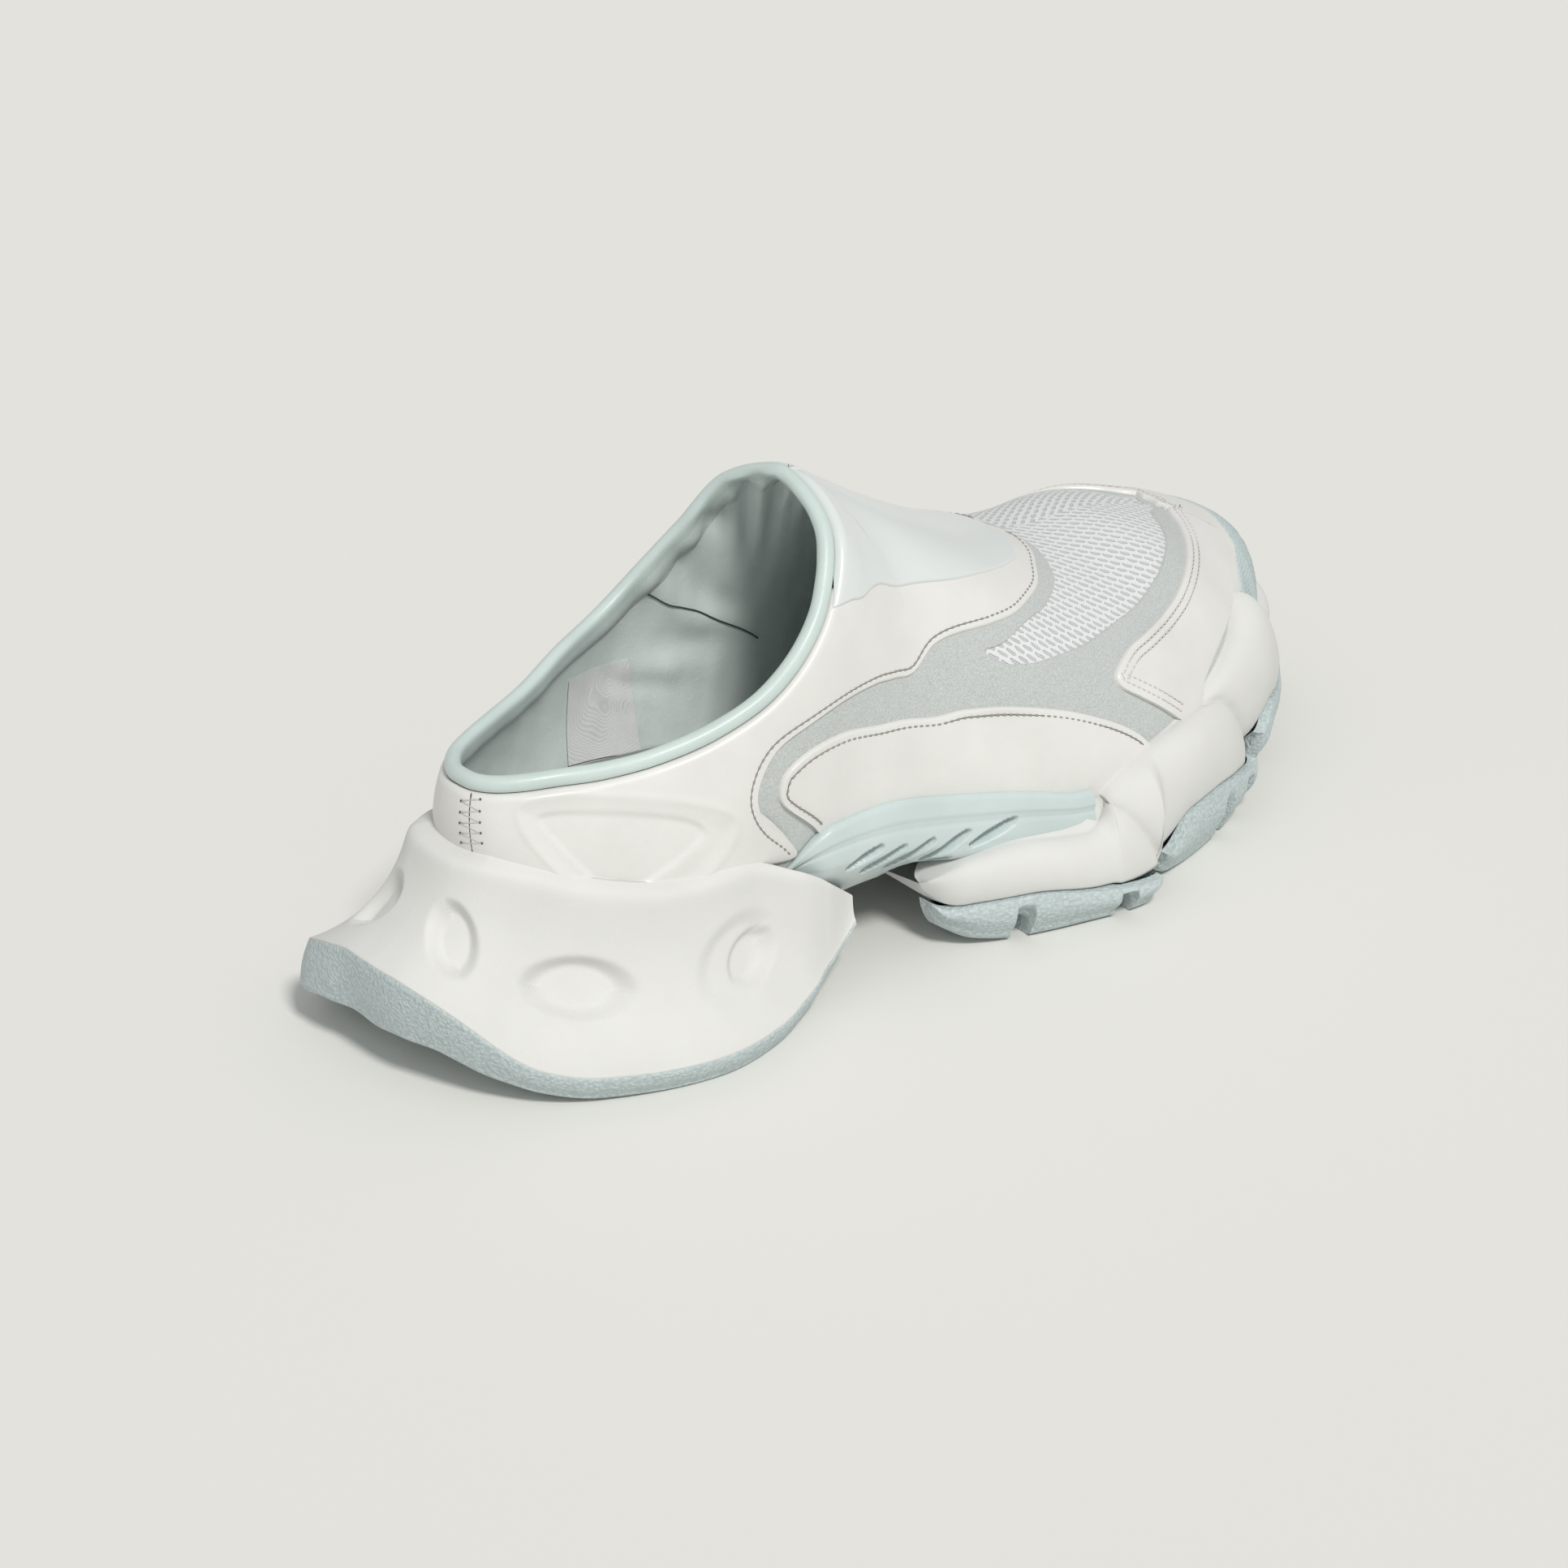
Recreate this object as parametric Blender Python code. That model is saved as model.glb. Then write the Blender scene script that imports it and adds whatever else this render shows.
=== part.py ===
"""Right sneaker mule: a hollow upper with overlays and a rolled collar, on a flared heel sole,
a bridge shank and a lobed forefoot sole with rubber pods.

Metres, +Z up, +X towards the toe, +Y to the inner (medial) side of this right shoe.
Every piece is a run of columns round the foot.  A column's station counts from 0 at the back
of the heel to TOE at the tip, along either side, and its rise goes from 0 at the lower edge of
the upper to 1 at the collar or, ahead of the throat, at the ridge.
"""
import math

import bmesh
import bpy
import numpy as np
from mathutils import Matrix, Vector

# Driving sizes
LENGTH = 0.290            # upper, from the back of the collar to the toe tip
BALL_WIDTH = 0.100        # upper across the ball
INSTEP_HEIGHT = 0.130     # throat of the collar above the floor
HEEL_LIFT = 0.040         # lower edge of the upper above the floor at the heel
UPPER_WALL = 0.0020
COLLAR_RADIUS = 0.0027    # rolled binding on the collar
PANEL = 0.0012            # thickness of a leather overlay
INSOLE = 0.0040
HEEL_FLARE = 0.030        # how far the heel sole stands out behind the upper
FORE_FLARE = 0.0095       # how far the forefoot lobes stand out
LOBE_DEPTH = 0.0040       # how deep the creases between the lobes are
NOTCH_DEPTH = 0.0045      # grooves across the pods
POD_LIFT = 0.0021         # how far the ends of a pod curve up from the floor
SOLE_EDGE = 0.0012        # step from the foam's skirt to its underside and the rubber's rim
TREAD_ROUND = 0.0016      # rounding of the rubber where it meets the floor
RAIL = 0.0050             # how far the shank's rail stands off the upper
GAP = 0.0003              # clearance between touching pieces
OVERLAY_GAP = 0.0006      # clearance under an overlay, whose facets cut across the upper's

# Sections of the upper.  along: share of LENGTH.  near, far, top_out, top_y, swell, spread and
# lead: shares of BALL_WIDTH, to the outer (-Y) and inner (+Y) side.  lift: share of HEEL_LIFT.
# top, rise and drop: shares of INSTEP_HEIGHT.
SECTION_COLUMNS = (
    "along", "near", "far", "lift", "top_along", "top_out", "top_y", "top",
    "rise", "swell", "spread", "lead", "drop")
SECTIONS = (
    (0.007, 0.00, 0.00, 1.00, 0.000, 0.00, 0.00, 0.550, 0.09, 0.02, 0.04, 0.00, 0.09),
    (0.021, 0.13, 0.13, 1.00, 0.012, 0.10, 0.00, 0.553, 0.09, 0.02, 0.04, 0.00, 0.09),
    (0.069, 0.25, 0.25, 0.98, 0.059, 0.19, 0.00, 0.560, 0.09, 0.02, 0.04, 0.00, 0.09),
    (0.145, 0.34, 0.33, 0.95, 0.145, 0.28, 0.00, 0.570, 0.10, 0.02, 0.05, 0.00, 0.09),
    (0.241, 0.37, 0.36, 0.90, 0.248, 0.345, 0.00, 0.650, 0.14, 0.02, 0.05, 0.02, 0.11),
    (0.338, 0.38, 0.35, 0.82, 0.330, 0.285, 0.00, 0.807, 0.18, 0.01, 0.07, 0.08, 0.12),
    (0.434, 0.41, 0.36, 0.72, 0.369, 0.00, 0.01, 0.950, 0.26, 0.01, 0.17, 0.15, 0.00),
    (0.552, 0.47, 0.42, 0.60, 0.469, 0.00, 0.03, 0.815, 0.29, 0.02, 0.25, 0.06, 0.00),
    (0.655, 0.48, 0.49, 0.53, 0.572, 0.00, 0.06, 0.690, 0.29, 0.02, 0.28, 0.02, 0.00),
    (0.752, 0.41, 0.53, 0.53, 0.672, 0.00, 0.10, 0.612, 0.28, 0.03, 0.29, 0.00, 0.00),
    (0.841, 0.27, 0.53, 0.58, 0.772, 0.00, 0.14, 0.580, 0.25, 0.03, 0.29, 0.00, 0.00),
    (0.917, 0.08, 0.46, 0.63, 0.855, 0.00, 0.18, 0.520, 0.22, 0.03, 0.26, 0.00, 0.00),
    (0.979, -0.18, 0.18, 0.68, 0.855, 0.00, 0.18, 0.520, 0.20, 0.03, 0.23, 0.00, 0.00),
)
TOE = len(SECTIONS) - 1
THROAT = 6
PIVOT_HEEL = 2.6          # stations between which the sole's columns end on the middle line;
PIVOT_TOE = 10.2          # past them the columns fan round the middle line's ends

# Heel sole.  flare: share of HEEL_FLARE.  top: height of the foam's top edge above the lower
# edge of the upper, share of HEEL_LIFT.  line: foam to rubber, and ground: underside of the
# rubber, shares of HEEL_LIFT.  seat: drop of the foam's floor towards the shank.
HEEL_COLUMNS = ("station", "flare", "flare_far", "top", "line", "ground", "seat")
HEEL_SOLE = (
    (0.00, 1.03, 1.03, 0.42, 0.70, 0.30, 0.00),
    (0.90, 1.03, 1.38, 0.42, 0.58, 0.24, 0.00),
    (1.25, 1.03, 1.36, 0.39, 0.46, 0.15, 0.00),
    (1.50, 1.02, 1.26, 0.36, 0.31, 0.09, 0.00),
    (2.00, 0.98, 1.08, 0.28, 0.22, 0.02, 0.00),
    (3.00, 0.90, 0.90, 0.18, 0.19, 0.00, 0.00),
    (3.60, 0.72, 0.70, 0.20, 0.19, 0.00, 0.00),
    (4.15, 0.45, 0.44, 0.16, 0.22, 0.03, 0.00),
    (4.40, 0.32, 0.32, -0.05, 0.28, 0.10, 0.10),
    (4.50, 0.28, 0.28, -0.09, 0.30, 0.14, 0.13),
    (4.95, 0.11, 0.11, -0.26, 0.44, 0.36, 0.36),
)
HEEL_END = 4.95

# Bridge shank.  top: height of the rail on the upper, under: height of its lower edge and
# keel: underside in the middle, shares of HEEL_LIFT.  tuck: how far the lower edge goes in.
SHANK_COLUMNS = ("station", "top", "under", "keel", "tuck")
SHANK = (
    (4.50, 0.28, -0.12, -0.12, 0.00),
    (4.95, 0.33, -0.345, -0.355, 0.08),
    (5.40, 0.36, -0.32, -0.34, 0.10),
    (5.55, 0.36, -0.24, -0.26, 0.08),
    (5.80, 0.35, -0.16, -0.17, 0.04),
    (6.00, 0.34, -0.12, -0.13, 0.00),
    (6.60, 0.31, -0.12, -0.12, 0.00),
    (7.10, 0.24, -0.12, -0.12, 0.00),
)

# Forefoot sole.  flare: share of FORE_FLARE.  top: foam's top edge above the lower edge of the
# upper, line: foam to rubber, ground: underside, shares of HEEL_LIFT.  seat: drop for the shank.
FORE_COLUMNS = ("station", "flare", "top", "top_far", "line", "ground", "seat")
FORE_SOLE = (
    (5.55, 0.00, -0.20, -0.20, 0.42, 0.30, 0.28),
    (5.80, 0.40, -0.16, -0.16, 0.33, 0.16, 0.19),
    (6.00, 0.80, -0.14, -0.14, 0.28, 0.06, 0.15),
    (6.60, 1.30, -0.13, -0.13, 0.22, 0.00, 0.14),
    (7.20, 1.35, -0.13, -0.13, 0.20, 0.00, 0.14),
    (7.34, 1.20, 0.20, 0.20, 0.20, 0.00, 0.00),
    (8.00, 1.20, 0.40, 0.36, 0.22, 0.00, 0.00),
    (9.00, 1.00, 0.52, 0.40, 0.24, 0.00, 0.00),
    (9.75, 0.95, 0.60, 0.36, 0.28, 0.04, 0.00),
    (10.3, 1.05, 0.74, 0.30, 0.31, 0.09, 0.00),
    (10.6, 1.05, 0.50, 0.20, 0.34, 0.12, 0.00),
    (10.9, 1.00, 0.16, 0.14, 0.39, 0.16, 0.00),
    (11.7, 0.85, 0.12, 0.12, 0.50, 0.26, 0.00),
    (12.0, 0.80, 0.12, 0.12, 0.54, 0.30, 0.00),
)
FORE_START = 5.55

# Edges of the overlays: pairs of (station, rise) points across each overlay, from its first
# edge to its second.  foam stands for the top edge of the sole or rail below.
SHIELD_RUNGS = (
    ((4.95, 0.93), (5.20, 0.95)), ((5.40, 0.78), (5.55, 0.95)), ((5.80, 0.67), (5.85, 0.95)),
    ((6.15, 0.62), (6.05, 1.00)), ((6.70, 0.64), (6.55, 1.00)), ((7.30, 0.69), (7.10, 1.00)),
    ((7.90, 0.76), (7.70, 1.00)), ((8.20, 0.83), (8.20, 1.00)), ((8.43, 0.92), (8.45, 1.00)))
QUARTER_RUNGS = (
    ("foam", (0.00, 0.95)), ("foam", (0.60, 0.95)), ("foam", (1.20, 0.95)), ("foam", (1.75, 0.95)),
    ("foam", (2.30, 0.95)), ("foam", (3.00, 0.95)), ("foam", (3.60, 0.95)),
    ((4.10, 0.21), (3.75, 0.95)), ((3.87, 0.36), (3.90, 0.95)), ((3.76, 0.52), (4.05, 0.95)),
    ((3.84, 0.68), (4.20, 0.95)), ((4.05, 0.745), (4.40, 0.94)), ((4.70, 0.66), (4.80, 0.92)),
    ((5.27, 0.53), (5.40, 0.745)), ((5.70, 0.46), (5.80, 0.635)), ((5.95, 0.43), (6.15, 0.585)),
    ((6.58, 0.49), (6.70, 0.605)), ((7.20, 0.54), (7.30, 0.655)), ((7.75, 0.615), (7.90, 0.725)),
    ((8.10, 0.70), (8.15, 0.78)))
PANEL_RUNGS = (
    ((4.45, 0.20), (4.55, 0.19)), ((4.14, 0.34), (4.70, 0.21)), ((4.01, 0.44), (4.90, 0.20)),
    ((4.01, 0.54), (5.10, 0.19)), ((4.32, 0.59), (5.30, 0.18)), ((4.72, 0.53), (5.50, 0.17)),
    ((5.34, 0.39), (5.80, 0.16)), ((5.94, 0.31), (6.20, 0.15)), ((6.55, 0.32), (6.60, 0.14)),
    ((7.12, 0.30), (7.00, 0.12)), ((7.50, 0.27), (7.34, 0.12)), ((7.80, 0.24), (7.75, 0.15)),
    ((8.05, 0.19), (8.00, 0.175)))
CAP_RUNGS = (
    ((8.62, 0.20), (8.10, 0.29)), ((8.75, 0.22), (8.00, 0.34)), ((9.00, 0.26), (8.36, 0.42)),
    ((9.25, 0.31), (9.10, 0.475)), ((9.75, 0.35), (9.77, 0.56)), ((10.10, 0.40), (10.18, 0.655)),
    ((10.40, 0.46), (10.60, 0.775)), ((10.75, 0.62), (10.97, 0.90)), ((11.30, 0.75), (11.40, 0.93)),
    ((12.00, 0.81), (12.00, 0.94)))
BUMPER_RUNGS = (
    ((10.72, 0.30), (10.66, 0.40)), ((10.95, 0.20), (10.90, 0.60)), ((11.20, 0.18), (11.20, 0.68)),
    ((11.60, 0.18), (11.60, 0.75)), ((12.00, 0.18), (12.00, 0.785)))
BUMPER_FOOT = 0.0050      # thickness of the toe bumper at its lower edge
BUMPER_TOP = 0.0024

STATIONS = (
    0.0, 0.3, 0.6, 0.9, 1.2, 1.35, 1.5, 1.75, 2.0, 2.3, 2.6, 3.0, 3.3, 3.6, 3.9, 4.15, 4.4, 4.5,
    4.7, 4.95, 5.2, 5.4, 5.55, 5.8, 6.0, 6.35, 6.6, 6.85, 7.1, 7.2, 7.34, 7.55, 7.75, 8.0, 8.3,
    8.6, 8.95, 9.25, 9.5, 9.75, 10.0, 10.3, 10.6, 10.9, 11.2, 11.45, 11.7, 12.0)
RISES = tuple(step / 8 for step in range(9))
CUP_RISES = 5             # how many of the rises a sole's side follows
SKIRT_STEPS = 5           # facets down the heel foam's skirt, and down a forefoot lobe
LOBE_STEPS = 4
COLLAR_RINGS = 56
COLLAR_SIDES = 6
INSOLE_COLUMNS = 56
RAMP = 2.2                # length of the heel rubber's slope up from the floor, for its rise
UP = np.array((0.0, 0.0, 1.0))
CREASES = (5.2, 7.75, 9.75, 11.45)     # stations between the lobes
POD_NOTCHES = ((6.35, 7.25), (8.75, 9.25), (10.6,))
NOTCH_WIDTH = 0.10        # in stations, as is half the run of its sloping walls
NOTCH_WALL = 0.012
POD_REACH = 0.62          # share of the way from the sole's edge to its middle line
POD_EDGE = 0.06           # stations between a crease and the pod's end


def smooth(values, at):
    """Point on the closed Catmull-Rom curve through the rows of values."""
    count = len(values)
    at = np.asarray(at, float) % count
    row = np.floor(at).astype(int)
    t = (at - row)[..., None]
    p0, p1, p2, p3 = (values[(row + step) % count] for step in (-1, 0, 1, 2))
    cubic = -p0 + 3 * p1 - 3 * p2 + p3
    square = 2 * p0 - 5 * p1 + 4 * p2 - p3
    return 0.5 * (2 * p1 + (p2 - p0) * t + square * t ** 2 + cubic * t ** 3)


def both_sides(near, far):
    """Rows round the foot: outer side heel to toe, then inner side toe to heel."""
    return np.concatenate([near, far[-2:0:-1]])


def column(name):
    index = SECTION_COLUMNS.index(name)
    return np.array([row[index] for row in SECTIONS], float)


FOOT_X = column("along") * LENGTH
FOOT_Z = column("lift") * HEEL_LIFT
FOOT = both_sides(
    np.stack([FOOT_X, -column("near") * BALL_WIDTH, FOOT_Z], 1),
    np.stack([FOOT_X, column("far") * BALL_WIDTH, FOOT_Z], 1))
HANDLES = np.stack([
    column("rise") * INSTEP_HEIGHT, column("swell") * BALL_WIDTH,
    column("spread") * BALL_WIDTH, column("lead") * BALL_WIDTH,
    column("drop") * INSTEP_HEIGHT], 1)
HANDLES = both_sides(HANDLES, HANDLES)
RIM = np.stack([
    column("top_along") * LENGTH, -column("top_out") * BALL_WIDTH,
    column("top") * INSTEP_HEIGHT], 1)[:THROAT + 1]
RIM = np.concatenate([RIM, RIM[-2:0:-1] * (1, -1, 1)])
RIDGE = np.stack([
    column("top_along") * LENGTH, column("top_y") * BALL_WIDTH,
    column("top") * INSTEP_HEIGHT], 1)[THROAT:TOE]
RIDGE_SLOPES = np.gradient(RIDGE, axis=0)


def station_of(u):
    """Station 0 to TOE of a place u in the loop 0 to 2 * TOE."""
    u = np.asarray(u, float) % (2 * TOE)
    return np.where(u <= TOE, u, 2 * TOE - u)


def ridge(station):
    """Top line ahead of the throat; it ends at the toe's pivot."""
    last = len(RIDGE) - 1
    along = np.clip(np.asarray(station, float) - THROAT, 0, last)
    row = np.clip(np.floor(along).astype(int), 0, last - 1)
    t = (along - row)[..., None]
    start, end = RIDGE[row], RIDGE[row + 1]
    slope_a, slope_b = RIDGE_SLOPES[row], RIDGE_SLOPES[row + 1]
    return ((1 + 2 * t) * (1 - t) ** 2 * start + t * (1 - t) ** 2 * slope_a
            + t * t * (3 - 2 * t) * end + t * t * (t - 1) * slope_b)


def ridge_fall(station):
    """dz/dx of the ridge."""
    step = 0.02
    low = np.clip(np.asarray(station, float), THROAT, THROAT + len(RIDGE) - 1 - 2 * step)
    ahead = ridge(low + 2 * step) - ridge(low)
    return ahead[..., 2] / ahead[..., 0]


def top_line(u):
    station = station_of(u)
    on_near = np.asarray(u, float) % (2 * TOE) <= TOE
    held = np.minimum(station, THROAT)
    rim = smooth(RIM, np.where(on_near, held, 2 * THROAT - held))
    return np.where((station >= THROAT)[..., None], ridge(station), rim)


def outward(u):
    """Level unit vector out of the foot's outline."""
    step = 0.01
    run = smooth(FOOT, np.asarray(u) + step) - smooth(FOOT, np.asarray(u) - step)
    out = np.stack([run[..., 1], -run[..., 0], 0 * run[..., 0]], -1)
    return out / np.linalg.norm(out, axis=-1, keepdims=True)


def form(u, v):
    """The upper's outer form at place u round the foot and rise v."""
    u, v = np.broadcast_arrays(np.asarray(u, float), np.asarray(v, float))
    foot, top, handle, out = smooth(FOOT, u), top_line(u), smooth(HANDLES, u), outward(u)
    station = station_of(u)
    rise, swell, spread, lead, drop = (handle[..., i] for i in range(5))
    fall = np.where(station >= THROAT, ridge_fall(station), 0)
    ahead = out[..., 0] * spread + lead
    low = foot + np.stack([out[..., 0] * swell, out[..., 1] * swell, rise], -1)
    high = top + np.stack([ahead, out[..., 1] * spread, fall * ahead - drop], -1)
    t = v[..., None]
    return ((1 - t) ** 3 * foot + 3 * t * (1 - t) ** 2 * low
            + 3 * t * t * (1 - t) * high + t ** 3 * top)


def form_normal(u, v):
    """Unit normal out of the form; on the ridge it stands square to the ridge."""
    u, v = np.broadcast_arrays(np.asarray(u, float), np.asarray(v, float))
    step = 0.004
    held = np.clip(v, step, 1 - 3 * step)
    across = form(u + step, held) - form(u - step, held)
    upward = form(u, held + step) - form(u, held - step)
    normal = np.cross(across, upward)
    normal /= np.linalg.norm(normal, axis=-1, keepdims=True)
    fall = ridge_fall(station_of(u))
    crest = np.stack([-fall, 0 * fall, 1 + 0 * fall], -1)
    crest /= np.linalg.norm(crest, axis=-1, keepdims=True)
    on_ridge = (station_of(u) >= THROAT) & (v > 1 - 1e-6)
    return np.where(on_ridge[..., None], crest, normal)


def skin(u, v, offset):
    """The form moved out by offset."""
    return form(u, v) + form_normal(u, v) * np.asarray(offset)[..., None]


def held(u):
    """Station of the place on the middle line that the column at u runs from."""
    return float(np.clip(station_of(u), PIVOT_HEEL, PIVOT_TOE))


def spine(u):
    """Plan point on the sole's middle line that the column at u runs from."""
    along = np.interp(held(u), range(TOE + 1), FOOT_X)
    side = np.interp(held(u), range(THROAT, TOE), RIDGE[:, 1])
    return np.array((along, side))


def bed(u):
    """Height of the upper's lower edge, read at the middle line."""
    return float(np.interp(held(u), range(TOE + 1), FOOT_Z))


def table_reader(names, rows):
    """Function that reads a named column at place u, evenly between its rows.

    The inner side, u below 0 or past TOE, has its own column where the table holds one."""
    stations = [row[0] for row in rows]

    def read(name, u):
        on_far = u < 0 or u > TOE
        key = name + "_far" if on_far and name + "_far" in names else name
        return float(np.interp(station_of(u), stations, [row[names.index(key)] for row in rows]))
    return read


heel_table = table_reader(HEEL_COLUMNS, HEEL_SOLE)
shank_table = table_reader(SHANK_COLUMNS, SHANK)
fore_table = table_reader(FORE_COLUMNS, FORE_SOLE)


def rise_at_height(u, height):
    """Rise v at which the form reaches a height, for a column that climbs."""
    tries = np.linspace(0, 0.8, 41)
    heights = form(np.full(41, float(u)), tries)[:, 2]
    return float(np.interp(height, heights, tries))


def make_object(name, vertices, faces, look):
    mesh = bpy.data.meshes.new(name)
    mesh.from_pydata([tuple(vertex) for vertex in vertices], [], faces)
    model = bmesh.new()
    model.from_mesh(mesh)
    bmesh.ops.remove_doubles(model, verts=model.verts, dist=2e-6)
    bmesh.ops.dissolve_degenerate(model, edges=model.edges, dist=2e-6)
    bmesh.ops.triangulate(model, faces=model.faces)
    bmesh.ops.recalc_face_normals(model, faces=model.faces)
    if model.calc_volume(signed=True) < 0:
        bmesh.ops.reverse_faces(model, faces=model.faces)
    model.to_mesh(mesh)
    model.free()
    made = bpy.data.objects.new(name, mesh)
    bpy.context.collection.objects.link(made)
    mesh.materials.append(look)
    mesh.shade_smooth()
    mesh.set_sharp_from_angle(angle=math.radians(40))
    return made


def finish_material(name, color, roughness, metallic=0.0):
    look = bpy.data.materials.new(name)
    look.use_nodes = True
    shader = look.node_tree.nodes["Principled BSDF"]
    shader.inputs["Base Color"].default_value = (*color, 1.0)
    shader.inputs["Roughness"].default_value = roughness
    shader.inputs["Metallic"].default_value = metallic
    return look


def column_solid(name, columns, look, closed=False):
    """Solid from columns of points, each from its inner top to its inner bottom.

    The inner ends of the two sides meet on the middle line.  An open run is closed by a face
    across its two end columns."""
    size = len(columns[0])
    vertices = [point for run in columns for point in run]
    count = len(columns)
    faces = []
    for index in range(count if closed else count - 1):
        here, after = index * size, (index + 1) % count * size
        for row in range(size - 1):
            faces.append((here + row, after + row, after + row + 1, here + row + 1))
    if not closed:
        last = (count - 1) * size
        faces.append(tuple(range(size)) + tuple(range(last + size - 1, last - 1, -1)))
    return make_object(name, vertices, faces, look)


def ring_solid(name, rings, look, closed=True):
    """Solid from closed rings of points; open runs get an end face at each end."""
    size = len(rings[0])
    vertices = [point for ring in rings for point in ring]
    count = len(rings)
    faces = []
    for index in range(count if closed else count - 1):
        here, after = index * size, (index + 1) % count * size
        for row in range(size):
            side = (row + 1) % size
            faces.append((here + row, after + row, after + side, here + side))
    if not closed:
        faces.append(tuple(range(size)))
        faces.append(tuple(range((count - 1) * size, count * size)))
    return make_object(name, vertices, faces, look)


def build_upper(look):
    """Hollow shell: outer form, inner form, and the strips that join them at the edges."""
    places = np.array([*STATIONS, *(2 * TOE - station for station in STATIONS[-2:0:-1])])
    grid_u, grid_v = np.meshgrid(places, RISES, indexing="ij")
    outer = skin(grid_u, grid_v, np.zeros_like(grid_u))
    inner = skin(grid_u, grid_v, np.full_like(grid_u, -UPPER_WALL))
    rows, size = grid_u.shape
    vertices = [*outer.reshape(-1, 3), *inner.reshape(-1, 3)]
    shift = rows * size
    faces = []
    for index in range(rows):
        here, after = index * size, (index + 1) % rows * size
        for row in range(size - 1):
            faces.append((here + row, after + row, after + row + 1, here + row + 1))
            faces.append(tuple(shift + corner for corner in (
                here + row + 1, after + row + 1, after + row, here + row)))
        faces.append((here, shift + here, shift + after, after))
        top = size - 1
        middle = station_of((places[index] + 0.01) % (2 * TOE))
        if middle < THROAT:
            faces.append((here + top, after + top, shift + after + top, shift + here + top))
    return make_object("upper", vertices, faces, look)


def build_collar(look):
    """Rolled binding that sits on the collar's edge."""
    places = np.linspace(0, 2 * THROAT, COLLAR_RINGS, endpoint=False)
    angles = np.linspace(0, 2 * math.pi, COLLAR_SIDES, endpoint=False)
    path = smooth(RIM, places)
    wall = np.where(places <= THROAT, places, 2 * TOE - 2 * THROAT + places)
    below = form(wall, np.full_like(wall, 0.93))
    rings = []
    for index, point in enumerate(path):
        run = path[(index + 1) % len(path)] - path[index - 1]
        run /= np.linalg.norm(run)
        up = point - below[index]
        up -= run * (up @ run)
        up /= np.linalg.norm(up)
        normal = np.cross(run, up)
        center = point + up * (COLLAR_RADIUS + 3 * GAP) - normal * UPPER_WALL / 2
        rings.append([center + COLLAR_RADIUS * (math.cos(angle) * normal + math.sin(angle) * up)
                      for angle in angles])
    return ring_solid("collar_roll", rings, look)


def build_insole(look):
    """Sock liner inside the upper, on the sole's floor."""
    columns = []
    inset = UPPER_WALL + 2 * GAP
    for u in np.linspace(0, 2 * TOE, INSOLE_COLUMNS, endpoint=False):
        middle = spine(u)
        edge = smooth(FOOT, u)
        out = outward(u)
        low = form(u, 0.0) - out * inset
        high = form(u, rise_at_height(u, edge[2] + INSOLE)) - out * (inset + 0.5 * GAP)
        columns.append([
            (*middle, bed(u) + 0.8 * INSOLE), (high[0], high[1], edge[2] + INSOLE),
            (low[0], low[1], edge[2] + 3 * GAP), (*middle, bed(u) + 3 * GAP)])
    return column_solid("insole", columns, look, closed=True)


def cup(u, top, seat):
    """Points of a sole's inside: from the middle of its floor out and up along the upper."""
    edge = smooth(FOOT, u)
    floor = edge[2] - GAP - seat
    center = bed(u) - GAP - seat
    middle = spine(u)
    between = (*(middle + 0.7 * (edge[:2] - middle)), 0.3 * center + 0.7 * floor)
    if top <= 0:
        rim = edge + outward(u) * GAP
        return [(*middle, center), between, *[(rim[0], rim[1], floor)] * (CUP_RISES + 1)]
    high = rise_at_height(u, edge[2] + top)
    climb = [skin(u, min(rise, high), 1.3 * GAP) for rise in RISES[:CUP_RISES]]
    climb.append(skin(u, high, 1.3 * GAP))
    base = climb[0]
    return [(*middle, center), between, (base[0], base[1], floor), *climb[1:]]


def heel_edge(u, name):
    """Outer edge of the heel sole at the foam's line or at the ground."""
    flare = heel_table("flare", u) * HEEL_FLARE
    if name == "ground":
        flare -= 0.07 * HEEL_FLARE
    point = smooth(FOOT, u) + outward(u) * flare
    point[2] = heel_table(name, u) * HEEL_LIFT
    return point


def heel_places():
    near = [station for station in STATIONS if station <= HEEL_END]
    return [-station for station in near[:0:-1]] + near


def bezier(first, second, third, last, steps):
    """Points along a cubic curve, from first to last."""
    return [(1 - t) ** 3 * first + 3 * t * (1 - t) ** 2 * second
            + 3 * t * t * (1 - t) * third + t ** 3 * last for t in np.linspace(0, 1, steps + 1)]


def build_heel_midsole(look):
    """Bell-shaped foam skirt with a cup for the upper."""
    columns = []
    for u in heel_places():
        inside = cup(u, heel_table("top", u) * HEEL_LIFT, heel_table("seat", u) * HEEL_LIFT)
        start = np.array(inside[-1])
        out = outward(u)
        end = heel_edge(u, "line")
        reach = np.linalg.norm((end - start)[:2])
        drop = start[2] - end[2]
        low = start + out * 0.18 * reach - UP * 0.03 * drop
        shoulder = low + out * 0.02 * reach - UP * 0.50 * drop
        hem = end - out * 0.42 * reach + UP * 0.12 * drop
        side = bezier(low, shoulder, hem, end, SKIRT_STEPS)
        under = end - out * SOLE_EDGE - UP * SOLE_EDGE
        middle = spine(u)
        floor = sole_floor(u, "line")
        columns.append([*inside, *side, under, (*middle, floor)])
    return column_solid("heel_midsole", columns, look)


def sole_floor(u, name):
    """Height of the heel rubber's top or underside on the middle line."""
    return float(heel_table(name, held(u))) * HEEL_LIFT


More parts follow.
